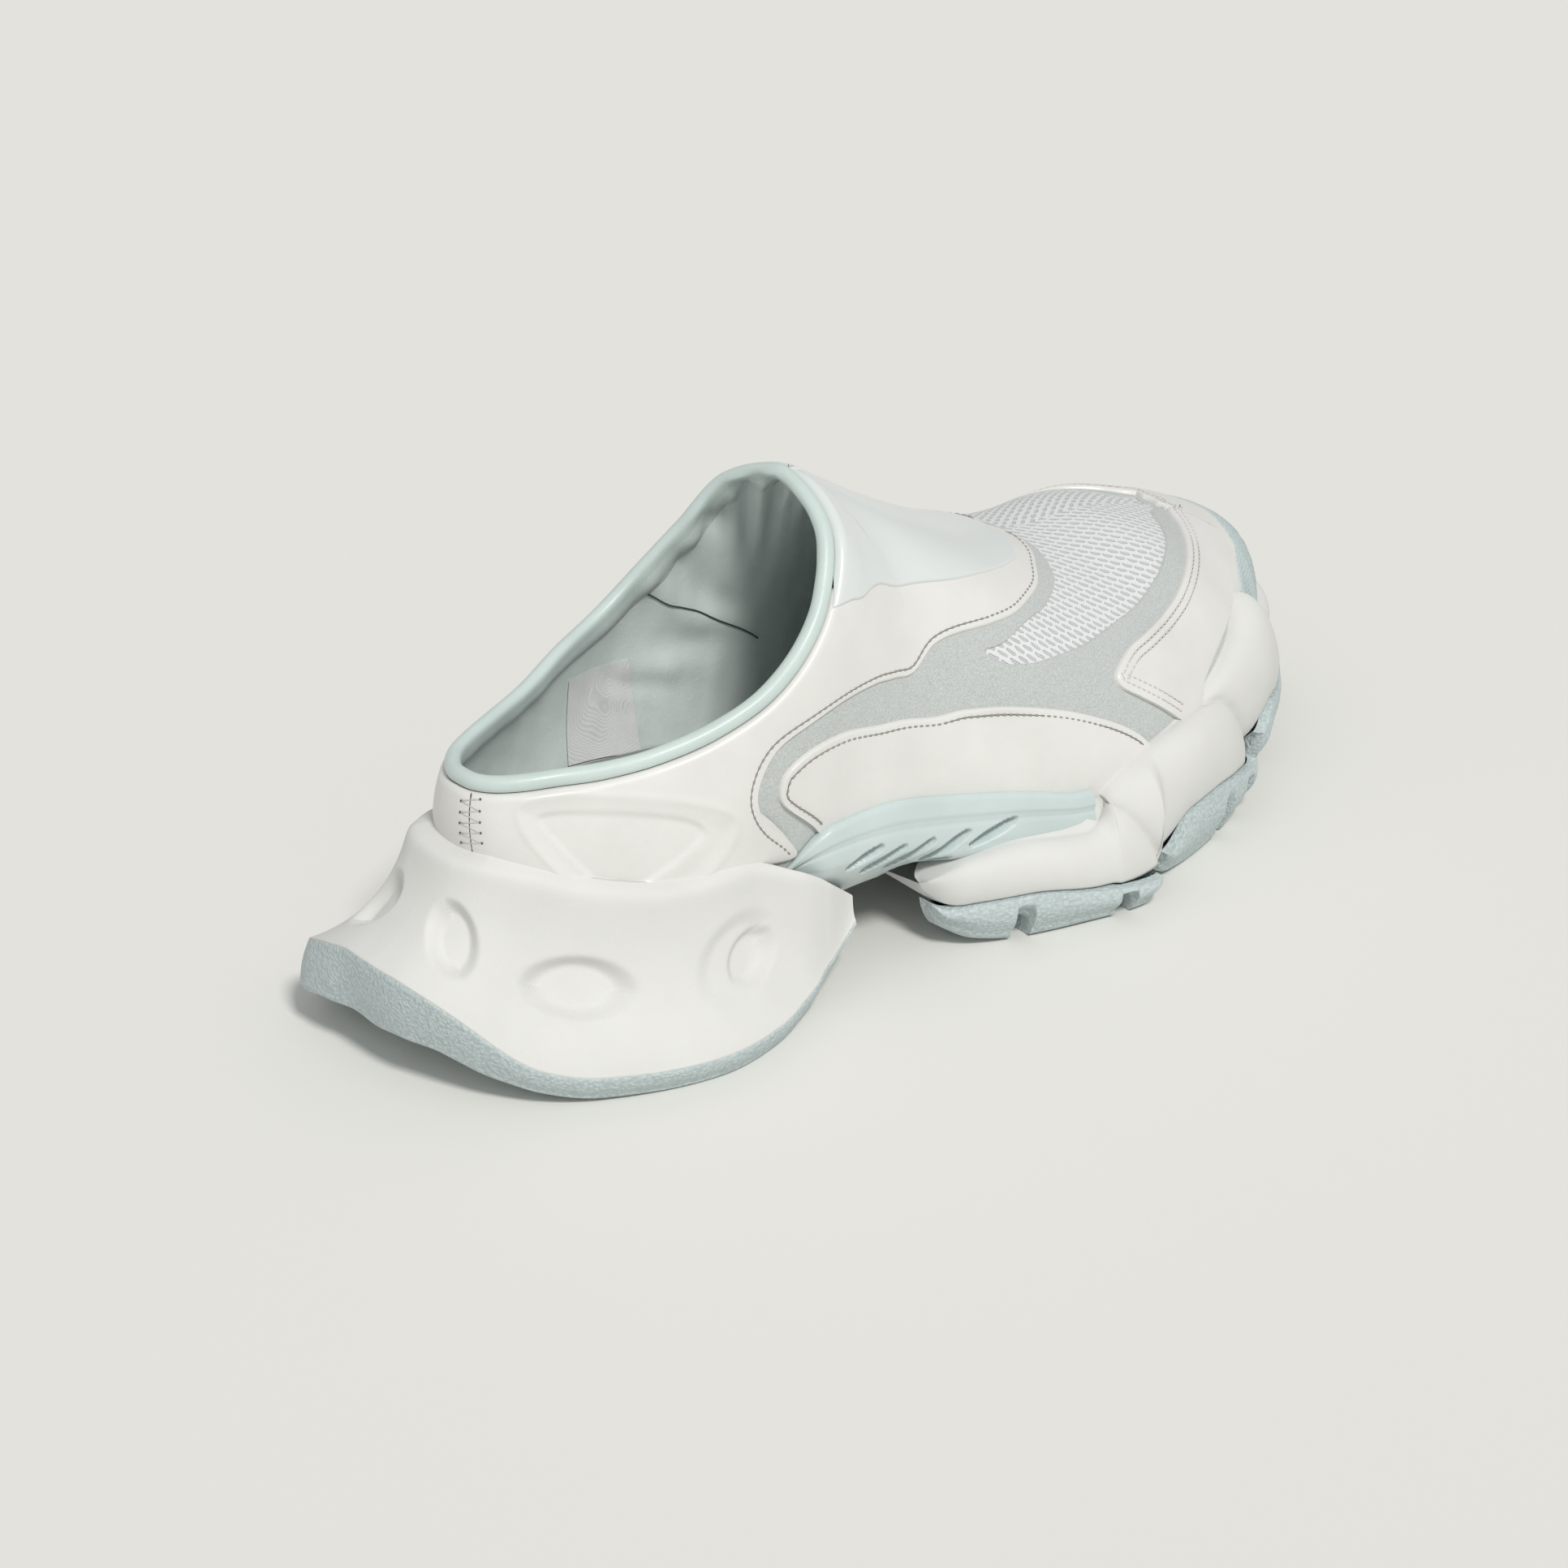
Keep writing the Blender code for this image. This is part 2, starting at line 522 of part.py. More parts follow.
def build_heel_outsole(look):
    """Rubber under the heel, raised and thick at the back."""
    columns = []
    for u in heel_places():
        out = outward(u)
        middle = spine(u)
        line, ground = heel_edge(u, "line"), heel_edge(u, "ground")
        roof = sole_floor(u, "line") - GAP
        top = line - UP * 1.5 * GAP
        lip = top - out * SOLE_EDGE - UP * SOLE_EDGE
        flat = ground - out * (RAMP * ground[2] + TREAD_ROUND)
        flat[2] = sole_floor(u, "ground")
        columns.append([
            (*middle, roof), lip, top, ground + UP * TREAD_ROUND,
            ground - out * TREAD_ROUND, flat, (*middle, sole_floor(u, "ground"))])
    return column_solid("heel_outsole", columns, look)


def lobe(station):
    """How far the forefoot foam bulges between its creases, 0 at a crease and 1 between."""
    for start, end in zip(CREASES, CREASES[1:]):
        if start <= station <= end:
            return math.sin(math.pi * (station - start) / (end - start)) ** 0.6
    return 1.0


def fore_edge(u, name):
    """Outer edge of the forefoot sole at the foam's line or at the ground."""
    station = station_of(u)
    flare = fore_table("flare", u) * FORE_FLARE - LOBE_DEPTH * (1 - lobe(station))
    if name == "ground":
        flare -= 0.12 * FORE_FLARE
    point = smooth(FOOT, u) + outward(u) * flare
    point[2] = fore_table(name, u) * HEEL_LIFT
    return point


def fore_places():
    near = [station for station in STATIONS if station >= FORE_START]
    return near + [2 * TOE - station for station in near[-2::-1]]


def build_forefoot_midsole(look):
    """Foam under the forefoot: lobes that wrap up on the upper, with creases between them."""
    columns = []
    for u in fore_places():
        station = station_of(u)
        top = fore_table("top", u) * HEEL_LIFT - 0.5 * LOBE_DEPTH * (1 - lobe(station))
        inside = cup(u, top, fore_table("seat", u) * HEEL_LIFT)
        start = np.array(inside[-1])
        out = outward(u)
        end = fore_edge(u, "line")
        rise = start[2] - end[2]
        reach = (end - start) @ out
        low = start + out * 0.16 * reach - UP * 0.02 * rise
        bulge = 0.35 * LOBE_DEPTH * lobe(station)
        crown = start + out * (0.75 * reach + bulge) - UP * 0.10 * rise
        belly = end + out * bulge + UP * 0.45 * rise
        side = bezier(low, crown, belly, end, LOBE_STEPS)
        columns.append([*inside, *side, (*spine(u), fore_table("line", held(u)) * HEEL_LIFT)])
    return column_solid("forefoot_midsole", columns, look)


def build_pod(name, first, last, notches, look):
    """Rubber pod under one lobe, with grooves across its underside."""
    places = list(np.linspace(first, last, 9))
    for notch in notches:
        for edge in (notch - NOTCH_WIDTH / 2, notch + NOTCH_WIDTH / 2):
            places += [edge - NOTCH_WALL, edge + NOTCH_WALL]
    rings = []
    for u in sorted(places):
        out = outward(u)
        line, ground = fore_edge(u, "line"), fore_edge(u, "ground")
        roof = fore_table("line", held(u)) * HEEL_LIFT
        inner = line + (np.array((*spine(u), roof)) - line) * POD_REACH
        in_notch = any(abs(u - notch) < NOTCH_WIDTH / 2 for notch in notches)
        near_end = (2 * (u - first) / (last - first) - 1) ** 6
        ground[2] += (NOTCH_DEPTH if in_notch else 0.0) + POD_LIFT * near_end
        inside = inner.copy()
        inside[2] = ground[2]
        rings.append([
            line - UP * 2 * GAP, ground + UP * TREAD_ROUND, ground - out * TREAD_ROUND,
            inside, inner - UP * 2 * GAP])
    return ring_solid(name, rings, look, closed=False)


def build_pods(look):
    """Pods under the lobes on both sides and the bumper round the toe."""
    lobes = list(zip(CREASES, CREASES[1:]))
    for index, (start, end) in enumerate(lobes):
        first, last = max(start, FORE_START + POD_EDGE) + POD_EDGE, end - POD_EDGE
        notches = POD_NOTCHES[index]
        build_pod(f"pod_outer_{index + 1}", first, last, notches, look)
        inner_notches = [2 * TOE - notch for notch in notches]
        build_pod(f"pod_inner_{index + 1}", 2 * TOE - last, 2 * TOE - first, inner_notches, look)
    start = CREASES[-1] + POD_EDGE
    build_pod("pod_toe", start, 2 * TOE - start, (), look)


def shank_places():
    return [station for station in STATIONS if SHANK[0][0] <= station <= SHANK[-1][0]]


def build_shank(look):
    """Stiff bridge under the waist, its side rails hugging the upper."""
    halves = []
    for sign in (-1, 1):
        half = []
        for station in shank_places():
            u = station if sign < 0 else 2 * TOE - station
            edge, out = smooth(FOOT, u), outward(u)
            middle = spine(u)
            inside = cup(u, shank_table("top", station) * HEEL_LIFT, 0.0)
            top = np.array(inside[-1])
            under = edge[2] + shank_table("under", station) * HEEL_LIFT
            keel = edge[2] + shank_table("keel", station) * HEEL_LIFT
            rim = top + out * 0.5 * RAIL
            tuck = shank_table("tuck", station) * BALL_WIDTH
            belly = edge + out * RAIL
            low = edge - out * tuck
            low[2] = under
            half.append([*inside, rim, belly, low, (*middle, keel)])
        halves.append(half)
    near, far = halves
    rings = [run_near[1:-1] + [run_near[-1]] + run_far[1:-1][::-1] + [run_far[0]]
             for run_near, run_far in zip(near, far)]
    return ring_solid("shank", rings, look, closed=False)


def rung_points(rungs, steps):
    """Places (u, v) across an overlay: a row of steps + 1 points for each rung and each
    middle between two rungs."""
    ends = [((end[0], foam_rise(end[0])) if start == "foam" else start, end) for start, end in rungs]
    ends = np.array(ends, float)
    middles = (ends[1:] + ends[:-1]) / 2
    finer = [ends[0]]
    for middle, after in zip(middles, ends[1:]):
        finer += [middle, after]
    shares = np.linspace(0, 1, steps + 1)[:, None]
    return [[tuple(place) for place in start + (end - start) * shares] for start, end in finer]


def foam_rise(station):
    """Rise just above the top edge of the heel foam."""
    edge = smooth(FOOT, station)
    return rise_at_height(station, edge[2] + heel_table("top", station) * HEEL_LIFT + 4 * GAP)


def mirrored(grid):
    """The same places on the inner side of the shoe."""
    return [[(2 * TOE - u, v) for u, v in row] for row in grid]


def build_overlay(name, grids, thickness, look):
    """Solid that lies on the upper between two offsets of its form.

    grids hold rows of places (u, v).  thickness is a length, or a function of the rise."""
    numbers, vertices, faces, inner = {}, [], [], []

    def vertex(place):
        u, v = place
        base = form(u, v)
        key = tuple(int(round(value * 2e5)) for value in base)
        if key not in numbers:
            numbers[key] = len(vertices)
            depth = thickness(v) if callable(thickness) else thickness
            vertices.append(skin(u, v, OVERLAY_GAP + depth))
            inner.append(skin(u, v, OVERLAY_GAP))
        return numbers[key]

    sides = {}
    for grid in grids:
        for row, after in zip(grid, grid[1:]):
            for index in range(len(row) - 1):
                places = (row[index], after[index], after[index + 1], row[index + 1])
                corners = [vertex(place) for place in places]
                ring = [corner for spot, corner in enumerate(corners) if corner != corners[spot - 1]]
                if len(ring) > 2:
                    faces.append(tuple(ring))
                    for spot, corner in enumerate(ring):
                        edge = (ring[spot - 1], corner)
                        sides[frozenset(edge)] = None if frozenset(edge) in sides else edge
    shift = len(vertices)
    under = [tuple(shift + corner for corner in face[::-1]) for face in faces]
    walls = [(a, b, shift + b, shift + a) for a, b in filter(None, sides.values())]
    return make_object(name, [*vertices, *inner], faces + under + walls, look)


def build_overlays(leather, gloss, rubber):
    quarter = rung_points(QUARTER_RUNGS, 4)
    back = [[(-u, v) for u, v in row] for row in quarter[:0:-1]]
    build_overlay("quarter", [back + quarter], PANEL, leather)
    panel = rung_points(PANEL_RUNGS, 3)
    build_overlay("side_panel_outer", [panel], PANEL, leather)
    build_overlay("side_panel_inner", [mirrored(panel)], PANEL, leather)
    cap = rung_points(CAP_RUNGS, 4)
    build_overlay("toe_cap", [cap + mirrored(cap)[-2::-1]], PANEL, leather)
    shield = rung_points(SHIELD_RUNGS, 4)
    build_overlay("instep_shield", [shield, mirrored(shield)], PANEL, gloss)
    bumper = rung_points(BUMPER_RUNGS, 5)

    def bumper_depth(rise):
        return BUMPER_FOOT + (BUMPER_TOP - BUMPER_FOOT) * rise
    build_overlay("toe_bumper", [bumper + mirrored(bumper)[-2::-1]], bumper_depth, rubber)


def stand_at_origin():
    """Moves every piece so that the shoe stands on the floor with its box centred over the origin."""
    models = [item for item in bpy.data.objects if item.type == "MESH"]
    corners = np.array([vertex.co for item in models for vertex in item.data.vertices])
    low, high = corners.min(axis=0), corners.max(axis=0)
    shift = Vector((-(low[0] + high[0]) / 2, -(low[1] + high[1]) / 2, -low[2]))
    for item in models:
        item.data.transform(Matrix.Translation(shift))


def clear_scene():
    for item in list(bpy.data.objects):
        bpy.data.objects.remove(item, do_unlink=True)


def main():
    clear_scene()
    leather = finish_material("white_leather", (0.86, 0.86, 0.83), 0.45)
    mesh_cloth = finish_material("white_mesh", (0.84, 0.85, 0.84), 0.8)
    foam = finish_material("white_foam", (0.87, 0.87, 0.84), 0.6)
    rubber = finish_material("grey_rubber", (0.60, 0.67, 0.68), 0.7)
    gloss = finish_material("gloss_shield", (0.83, 0.87, 0.86), 0.25)
    lining = finish_material("mint_lining", (0.62, 0.68, 0.66), 0.5)
    build_upper(mesh_cloth)
    build_collar(lining)
    build_insole(lining)
    build_heel_midsole(foam)
    build_heel_outsole(rubber)
    build_forefoot_midsole(foam)
    build_pods(rubber)
    build_shank(lining)
    build_overlays(leather, gloss, rubber)
    stand_at_origin()


main()
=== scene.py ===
"""Looks of a right sneaker mule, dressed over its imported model.

Everything follows the form that the model itself is made from: columns round the foot, with a
station from 0 at the back of the heel to TOE at the tip and a rise from 0 at the lower edge of
the upper to 1 at the collar or the ridge.  Metres; the shoe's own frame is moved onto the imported
model's by SHIFT.
"""
import math

import bpy
import numpy as np
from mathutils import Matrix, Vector


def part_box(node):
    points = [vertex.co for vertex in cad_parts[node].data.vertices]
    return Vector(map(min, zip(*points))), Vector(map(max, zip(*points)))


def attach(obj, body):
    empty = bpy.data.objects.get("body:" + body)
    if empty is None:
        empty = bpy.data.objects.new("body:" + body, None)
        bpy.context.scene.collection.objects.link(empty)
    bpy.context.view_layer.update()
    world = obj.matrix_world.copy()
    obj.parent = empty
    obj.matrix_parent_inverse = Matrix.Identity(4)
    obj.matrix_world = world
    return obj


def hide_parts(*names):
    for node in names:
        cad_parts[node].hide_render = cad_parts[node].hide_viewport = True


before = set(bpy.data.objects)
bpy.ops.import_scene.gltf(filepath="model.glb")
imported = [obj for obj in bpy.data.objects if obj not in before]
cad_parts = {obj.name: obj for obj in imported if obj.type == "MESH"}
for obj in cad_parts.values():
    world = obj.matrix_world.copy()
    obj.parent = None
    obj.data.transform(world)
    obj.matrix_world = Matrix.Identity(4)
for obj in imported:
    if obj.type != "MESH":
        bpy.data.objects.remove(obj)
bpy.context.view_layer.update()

MM = 0.001

# The form, as in the model
LENGTH = 0.290
BALL_WIDTH = 0.100
INSTEP_HEIGHT = 0.130
HEEL_LIFT = 0.040
UPPER_WALL = 0.0020
COLLAR_RADIUS = 0.00205
COLLAR_LIFT = 0.0019
INSOLE = 0.0040
HEEL_FLARE = 0.030
FORE_FLARE = 0.0095
LOBE_DEPTH = 0.0040
POD_LIFT = 0.0021
SOLE_EDGE = 0.0012
TREAD_ROUND = 0.0016
RAIL = 0.0050
GAP = 0.0003
RAMP = 2.2   # how far the heel's tread runs in per height of its kicked-up edge
SECTION_COLUMNS = (
    "along", "near", "far", "lift", "top_along", "top_out", "top_y", "top",
    "rise", "swell", "spread", "lead", "drop")
SECTIONS = (
    (0.007, 0.00, 0.00, 1.00, 0.000, 0.00, 0.00, 0.550, 0.09, 0.02, 0.04, 0.00, 0.09),
    (0.021, 0.13, 0.13, 1.00, 0.012, 0.10, 0.00, 0.553, 0.09, 0.02, 0.04, 0.00, 0.09),
    (0.069, 0.25, 0.25, 0.98, 0.059, 0.19, 0.00, 0.560, 0.09, 0.02, 0.04, 0.00, 0.09),
    (0.145, 0.34, 0.33, 0.95, 0.145, 0.28, 0.00, 0.570, 0.10, 0.02, 0.05, 0.00, 0.09),
    (0.241, 0.37, 0.36, 0.90, 0.248, 0.345, 0.00, 0.650, 0.14, 0.02, 0.05, 0.02, 0.11),
    (0.338, 0.38, 0.35, 0.82, 0.330, 0.285, 0.00, 0.807, 0.18, 0.01, 0.07, 0.08, 0.12),
    (0.434, 0.41, 0.36, 0.72, 0.369, 0.00, 0.01, 0.950, 0.26, 0.01, 0.17, 0.15, 0.00),
    (0.552, 0.47, 0.42, 0.60, 0.469, 0.00, 0.03, 0.815, 0.29, 0.02, 0.25, 0.06, 0.00),
    (0.655, 0.48, 0.49, 0.53, 0.572, 0.00, 0.06, 0.690, 0.29, 0.02, 0.28, 0.02, 0.00),
    (0.752, 0.41, 0.53, 0.53, 0.672, 0.00, 0.10, 0.612, 0.28, 0.03, 0.29, 0.00, 0.00),
    (0.841, 0.27, 0.53, 0.58, 0.772, 0.00, 0.14, 0.580, 0.25, 0.03, 0.29, 0.00, 0.00),
    (0.917, 0.08, 0.46, 0.63, 0.855, 0.00, 0.18, 0.520, 0.22, 0.03, 0.26, 0.00, 0.00),
    (0.979, -0.18, 0.18, 0.68, 0.855, 0.00, 0.18, 0.520, 0.20, 0.03, 0.23, 0.00, 0.00),
)
TOE = len(SECTIONS) - 1
THROAT = 6
PIVOT_HEEL = 2.6
PIVOT_TOE = 10.2
HEEL_COLUMNS = ("station", "flare", "flare_far", "top", "line", "ground", "kick", "kick_far")
HEEL_SOLE = (
    (0.00, 1.03, 1.03, 0.42, 0.80, 0.31, -0.05, -0.05),
    (0.30, 1.03, 1.04, 0.42, 0.79, 0.33, -0.05, -0.02),
    (0.60, 1.03, 1.11, 0.42, 0.73, 0.32, -0.06, 0.05),
    (0.85, 1.03, 1.18, 0.42, 0.635, 0.26, -0.07, 0.09),
    (1.00, 1.03, 1.19, 0.41, 0.55, 0.21, -0.07, 0.09),
    (1.25, 1.03, 1.10, 0.39, 0.41, 0.15, -0.07, 0.04),
    (1.50, 1.02, 1.10, 0.36, 0.305, 0.09, -0.07, 0.00),
    (2.00, 0.98, 1.04, 0.28, 0.22, 0.02, -0.07, -0.05),
    (3.00, 0.90, 0.90, 0.18, 0.19, 0.00, -0.07, -0.07),
    (3.60, 0.72, 0.70, 0.20, 0.19, 0.00, -0.07, -0.07),
    (4.15, 0.45, 0.44, 0.10, 0.22, 0.03, -0.07, -0.07),
    (4.40, 0.32, 0.32, 0.01, 0.28, 0.10, -0.07, -0.07),
    (4.50, 0.28, 0.28, -0.04, 0.30, 0.14, -0.07, -0.07),
    (4.95, 0.11, 0.11, -0.26, 0.44, 0.36, -0.07, -0.07),
)
HEEL_END = 4.90
SHANK_COLUMNS = ("station", "top", "under", "keel", "tuck")
SHANK = (
    (4.50, 0.28, -0.12, -0.12, 0.00),
    (4.95, 0.33, -0.345, -0.355, 0.08),
    (5.40, 0.36, -0.32, -0.34, 0.10),
    (5.55, 0.36, -0.24, -0.26, 0.08),
    (5.80, 0.35, -0.16, -0.17, 0.04),
    (6.00, 0.34, -0.12, -0.13, 0.00),
    (6.60, 0.31, -0.12, -0.12, 0.00),
    (7.10, 0.24, -0.12, -0.12, 0.00),
)
FORE_COLUMNS = ("station", "flare", "top", "top_far", "line", "ground", "kick")
FORE_SOLE = (
    (5.70, 0.20, -0.21, -0.21, 0.40, 0.30, 0.00),
    (5.88, 0.70, -0.15, -0.15, 0.34, 0.16, -0.06),
    (6.15, 1.05, -0.07, -0.07, 0.355, 0.05, -0.10),
    (6.55, 1.30, 0.02, 0.02, 0.36, 0.00, -0.12),
    (7.10, 1.55, 0.06, 0.06, 0.28, 0.00, -0.12),
    (7.24, 1.62, 0.12, 0.12, 0.27, 0.00, -0.12),
    (7.34, 1.68, 0.24, 0.24, 0.25, 0.00, -0.12),
    (7.82, 1.68, 0.38, 0.34, 0.22, 0.00, -0.12),
    (8.00, 1.00, 0.41, 0.36, 0.25, 0.02, -0.20),
    (8.40, 0.90, 0.46, 0.38, 0.44, 0.00, -0.20),
    (8.80, 0.88, 0.50, 0.40, 0.47, 0.00, -0.20),
    (9.20, 0.90, 0.54, 0.40, 0.43, 0.02, -0.20),
    (9.60, 0.95, 0.58, 0.38, 0.36, 0.07, -0.20),
    (9.85, 0.92, 0.62, 0.34, 0.45, 0.13, -0.20),
    (10.3, 0.92, 0.74, 0.30, 0.58, 0.19, -0.20),
    (10.6, 0.95, 0.50, 0.24, 0.56, 0.21, -0.20),
    (10.9, 0.95, 0.30, 0.24, 0.52, 0.23, -0.15),
    (11.7, 0.85, 0.20, 0.20, 0.56, 0.29, -0.12),
    (12.0, 0.80, 0.20, 0.20, 0.58, 0.31, -0.12),
)
FORE_START = 5.70
# The throat's corner is rounded off this many stations to each side
ROUNDED = 1.7
SOFT_REACH = 0.8
SOFT_STEPS = 100
NOSE = 10.0 * MM
CROWN = ((5.9, 6.3, 6.9, 7.2, 7.45, 8.0), (0.6, 1.2, 1.6, 1.8, 2.2, 2.2))   # station, mm
CREASES = ((5.20, 5.20), (7.24, 7.86), (8.90, 9.78), (10.75, 11.45))   # at the foam's top and foot
# Ends of the outer pods and their grooves, by station, and the first end of the toe's pod
PODS = ((5.76, 7.74, (6.50, 7.36)), (7.98, 9.66, (8.98, 9.40)), (9.90, 11.38, (10.72,)))
TOE_POD = 11.52
NOTCH_HALF = 2.7 * MM
NOTCH_HEIGHT = 6.8 * MM
POD_REACH = 0.62
UP = np.array((0.0, 0.0, 1.0))

# Looks: thicknesses of the sheets that lie on the form, and the thread
SUEDE = 0.6 * MM
LEATHER = 1.5 * MM
OVERLAY = 1.9 * MM
SHIELD = 2.3 * MM
EDGE_RADIUS = 0.9 * MM
RIM_TUCK = 0.9 * MM
TUCK_REACH = 2.4 * MM
STITCH_PITCH = 2.0 * MM
STITCH_INSET = 2.0 * MM
THREAD = 0.32 * MM
PIN_HOLE = 0.34 * MM
INSET_LIMIT = np.array((0.3, 0.1))   # station, rise
LINING_GAP = 0.3 * MM
SHARP_EDGE = 50   # degrees
KNIT_START = 5.6
KNIT_TURN = 0.62
EYELET_ALONG = 3.9 * MM
EYELET_ACROSS = 2.35 * MM
ROLL_TURN = (-0.95, 0.86 * math.pi)
ROLL_STEPS = 24
FLAP_STEPS = 12

# Edges of the sheets: each row is a place (station, rise) on one edge and the place across from
# it on the other.  FOAM stands for the sole's top edge below.
FOAM = None
QUARTER = (
    (FOAM, (0.00, 1.00)), (FOAM, (0.60, 1.00)), (FOAM, (1.20, 1.00)), (FOAM, (1.75, 1.00)),
    (FOAM, (2.25, 1.00)), (FOAM, (2.60, 1.00)), ((3.50, 0.13), (2.72, 1.00)),
    ((3.85, 0.10), (2.80, 1.00)), ((4.27, 0.10), (2.92, 1.00)), ((3.93, 0.306), (3.15, 1.00)),
    ((3.79, 0.45), (3.50, 1.00)), ((3.77, 0.575), (3.90, 1.00)), ((3.86, 0.694), (4.25, 1.00)),
    ((4.02, 0.744), (4.50, 1.00)), ((4.32, 0.719), (4.75, 1.00)),
    ((4.72, 0.65), (5.02, 1.00)), ((5.27, 0.525), (5.33, 0.87)),
    ((5.58, 0.460), (5.65, 0.76)), ((5.89, 0.425), (6.00, 0.66)), ((6.28, 0.463), (6.30, 0.66)),
    ((6.58, 0.488), (6.68, 0.68)), ((7.00, 0.519), (7.15, 0.72)), ((7.39, 0.556), (7.55, 0.77)),
    ((7.74, 0.613), (7.85, 0.80)), ((8.02, 0.669), (8.08, 0.83)), ((8.27, 0.744), (8.22, 0.88)),
    ((8.45, 0.800), (8.28, 0.90)), ((8.62, 0.880), (8.32, 0.93)), ((8.66, 0.938), (8.34, 0.96)),
    ((8.60, 1.000), (8.34, 1.00)))
SIDE_PANEL = (
    ((4.53, 0.150), (4.55, 0.09)), ((4.42, 0.213), (4.75, 0.08)), ((4.14, 0.344), (4.95, 0.07)),
    ((4.00, 0.444), (5.10, 0.07)), ((4.00, 0.544), (5.25, 0.07)), ((4.09, 0.590), (5.40, 0.07)),
    ((4.32, 0.596), (5.55, 0.07)), ((4.72, 0.531), (5.75, 0.07)), ((5.34, 0.394), (6.00, 0.06)),
    ((5.94, 0.318), (6.30, 0.05)), ((6.38, 0.314), (6.60, 0.05)), ((6.75, 0.313), (6.85, 0.05)),
    ((7.12, 0.300), (7.15, 0.05)), ((7.44, 0.278), (7.42, 0.06)), ((7.76, 0.240), (7.70, 0.08)),
    ((7.99, 0.195), (7.90, 0.10)), ((8.12, 0.150), (8.05, 0.11)))
TOE_CAP = (
    ((8.66, 0.150), (8.70, 0.13)), ((8.38, 0.231), (8.80, 0.13)), ((8.15, 0.288), (8.88, 0.14)),
    ((8.01, 0.325), (8.96, 0.17)), ((8.06, 0.366), (9.05, 0.21)), ((8.36, 0.419), (9.20, 0.24)),
    ((8.68, 0.444), (9.45, 0.27)), ((9.10, 0.475), (9.75, 0.30)), ((9.42, 0.506), (10.0, 0.33)),
    ((9.77, 0.562), (10.3, 0.36)), ((10.18, 0.656), (10.6, 0.30)), ((10.6, 0.775), (10.9, 0.25)),
    ((10.97, 0.885), (11.2, 0.22)), ((11.45, 0.925), (11.55, 0.20)), ((12.0, 0.935), (12.0, 0.20)))
INSTEP_SHIELD = (
    ((4.90, 0.985), (5.20, 1.00)), ((5.12, 0.880), (5.45, 1.00)), ((5.34, 0.775), (5.65, 1.00)),
    ((5.75, 0.665), (5.85, 1.00)), ((6.12, 0.608), (6.10, 1.00)), ((6.68, 0.625), (6.60, 1.00)),
    ((7.30, 0.675), (7.20, 1.00)), ((7.80, 0.730), (7.70, 1.00)), ((8.10, 0.775), (7.95, 1.00)),
    ((8.24, 0.820), (8.10, 1.00)), ((8.36, 0.875), (8.20, 1.00)), ((8.44, 0.931), (8.25, 1.00)),
    ((8.47, 1.000), (8.28, 1.00)))
SUEDE_RING = (
    ((8.78, 1.000), (6.3, 1.00)), ((8.76, 0.950), (6.3, 0.94)), ((8.72, 0.900), (6.3, 0.88)),
    ((8.66, 0.838), (6.3, 0.82)), ((8.50, 0.756), (6.3, 0.75)), ((8.29, 0.681), (6.3, 0.69)),
    ((7.88, 0.594), (6.3, 0.62)), ((7.53, 0.544), (6.3, 0.56)), ((7.07, 0.475), (6.3, 0.50)),
    ((6.80, 0.448), (6.3, 0.44)), ((6.93, 0.419), (6.3, 0.20)), ((7.10, 0.416), (6.4, 0.03)),
    ((7.28, 0.419), (6.7, 0.03)), ((7.62, 0.440), (7.2, 0.03)), ((7.99, 0.466), (7.8, 0.03)),
    ((8.41, 0.503), (8.4, 0.03)), ((8.89, 0.537), (9.0, 0.03)), ((9.31, 0.577), (9.6, 0.03)),
    ((9.63, 0.622), (10.1, 0.03)), ((9.98, 0.694), (10.6, 0.03)), ((10.32, 0.788), (11.0, 0.03)),
    ((10.72, 0.900), (11.4, 0.03)), ((11.30, 0.955), (11.7, 0.03)), ((12.0, 0.970), (12.0, 0.03)))
SUEDE_TAIL = (
    ((3.55, 0.90), (3.85, 0.02)), ((4.40, 0.92), (4.50, 0.02)), ((5.30, 0.80), (5.30, 0.02)),
    ((6.30, 0.75), (6.30, 0.02)))
BUMPER = (
    ((10.55, 0.20), (10.46, 0.375)), ((10.76, 0.16), (10.70, 0.46)), ((11.00, 0.15), (10.95, 0.535)),
    ((11.30, 0.14), (11.28, 0.60)), ((11.65, 0.14), (11.62, 0.64)), ((12.0, 0.14), (12.0, 0.655)))
# Moulded triangle on the quarter: its rim and its floor
RECESS_RIM = (
    (1.50, 0.905), (1.95, 0.925), (2.41, 0.885), (3.00, 0.745), (3.42, 0.560), (3.56, 0.430),
    (3.40, 0.250), (3.00, 0.080), (2.40, 0.060), (1.95, 0.250), (1.62, 0.560), (1.46, 0.780))
RECESS_FLOOR = (
    (1.66, 0.790), (1.90, 0.835), (2.52, 0.775), (3.05, 0.640), (3.30, 0.480), (3.18, 0.370),
    (2.71, 0.200), (2.40, 0.120), (2.12, 0.290), (1.86, 0.560))
RECESS_DEPTH = 0.7 * MM
FLOOR_STEP = 0.8 * MM
PANEL_CHART_HEIGHT = 0.033
# Seams and label, by place
ZIGZAG = (0.34, 0.78)
ZIGZAG_STEP = 0.042
BACK_SEAM = 0.56
LINING_SEAM = ((4.42, 1.00), (4.55, 0.875), (4.75, 0.725), (5.03, 0.588), (5.41, 0.431), (5.91, 0.300))
LABEL = (((20.33, 0.125), (20.37, 0.75)), ((19.47, 0.07), (19.65, 0.575)))

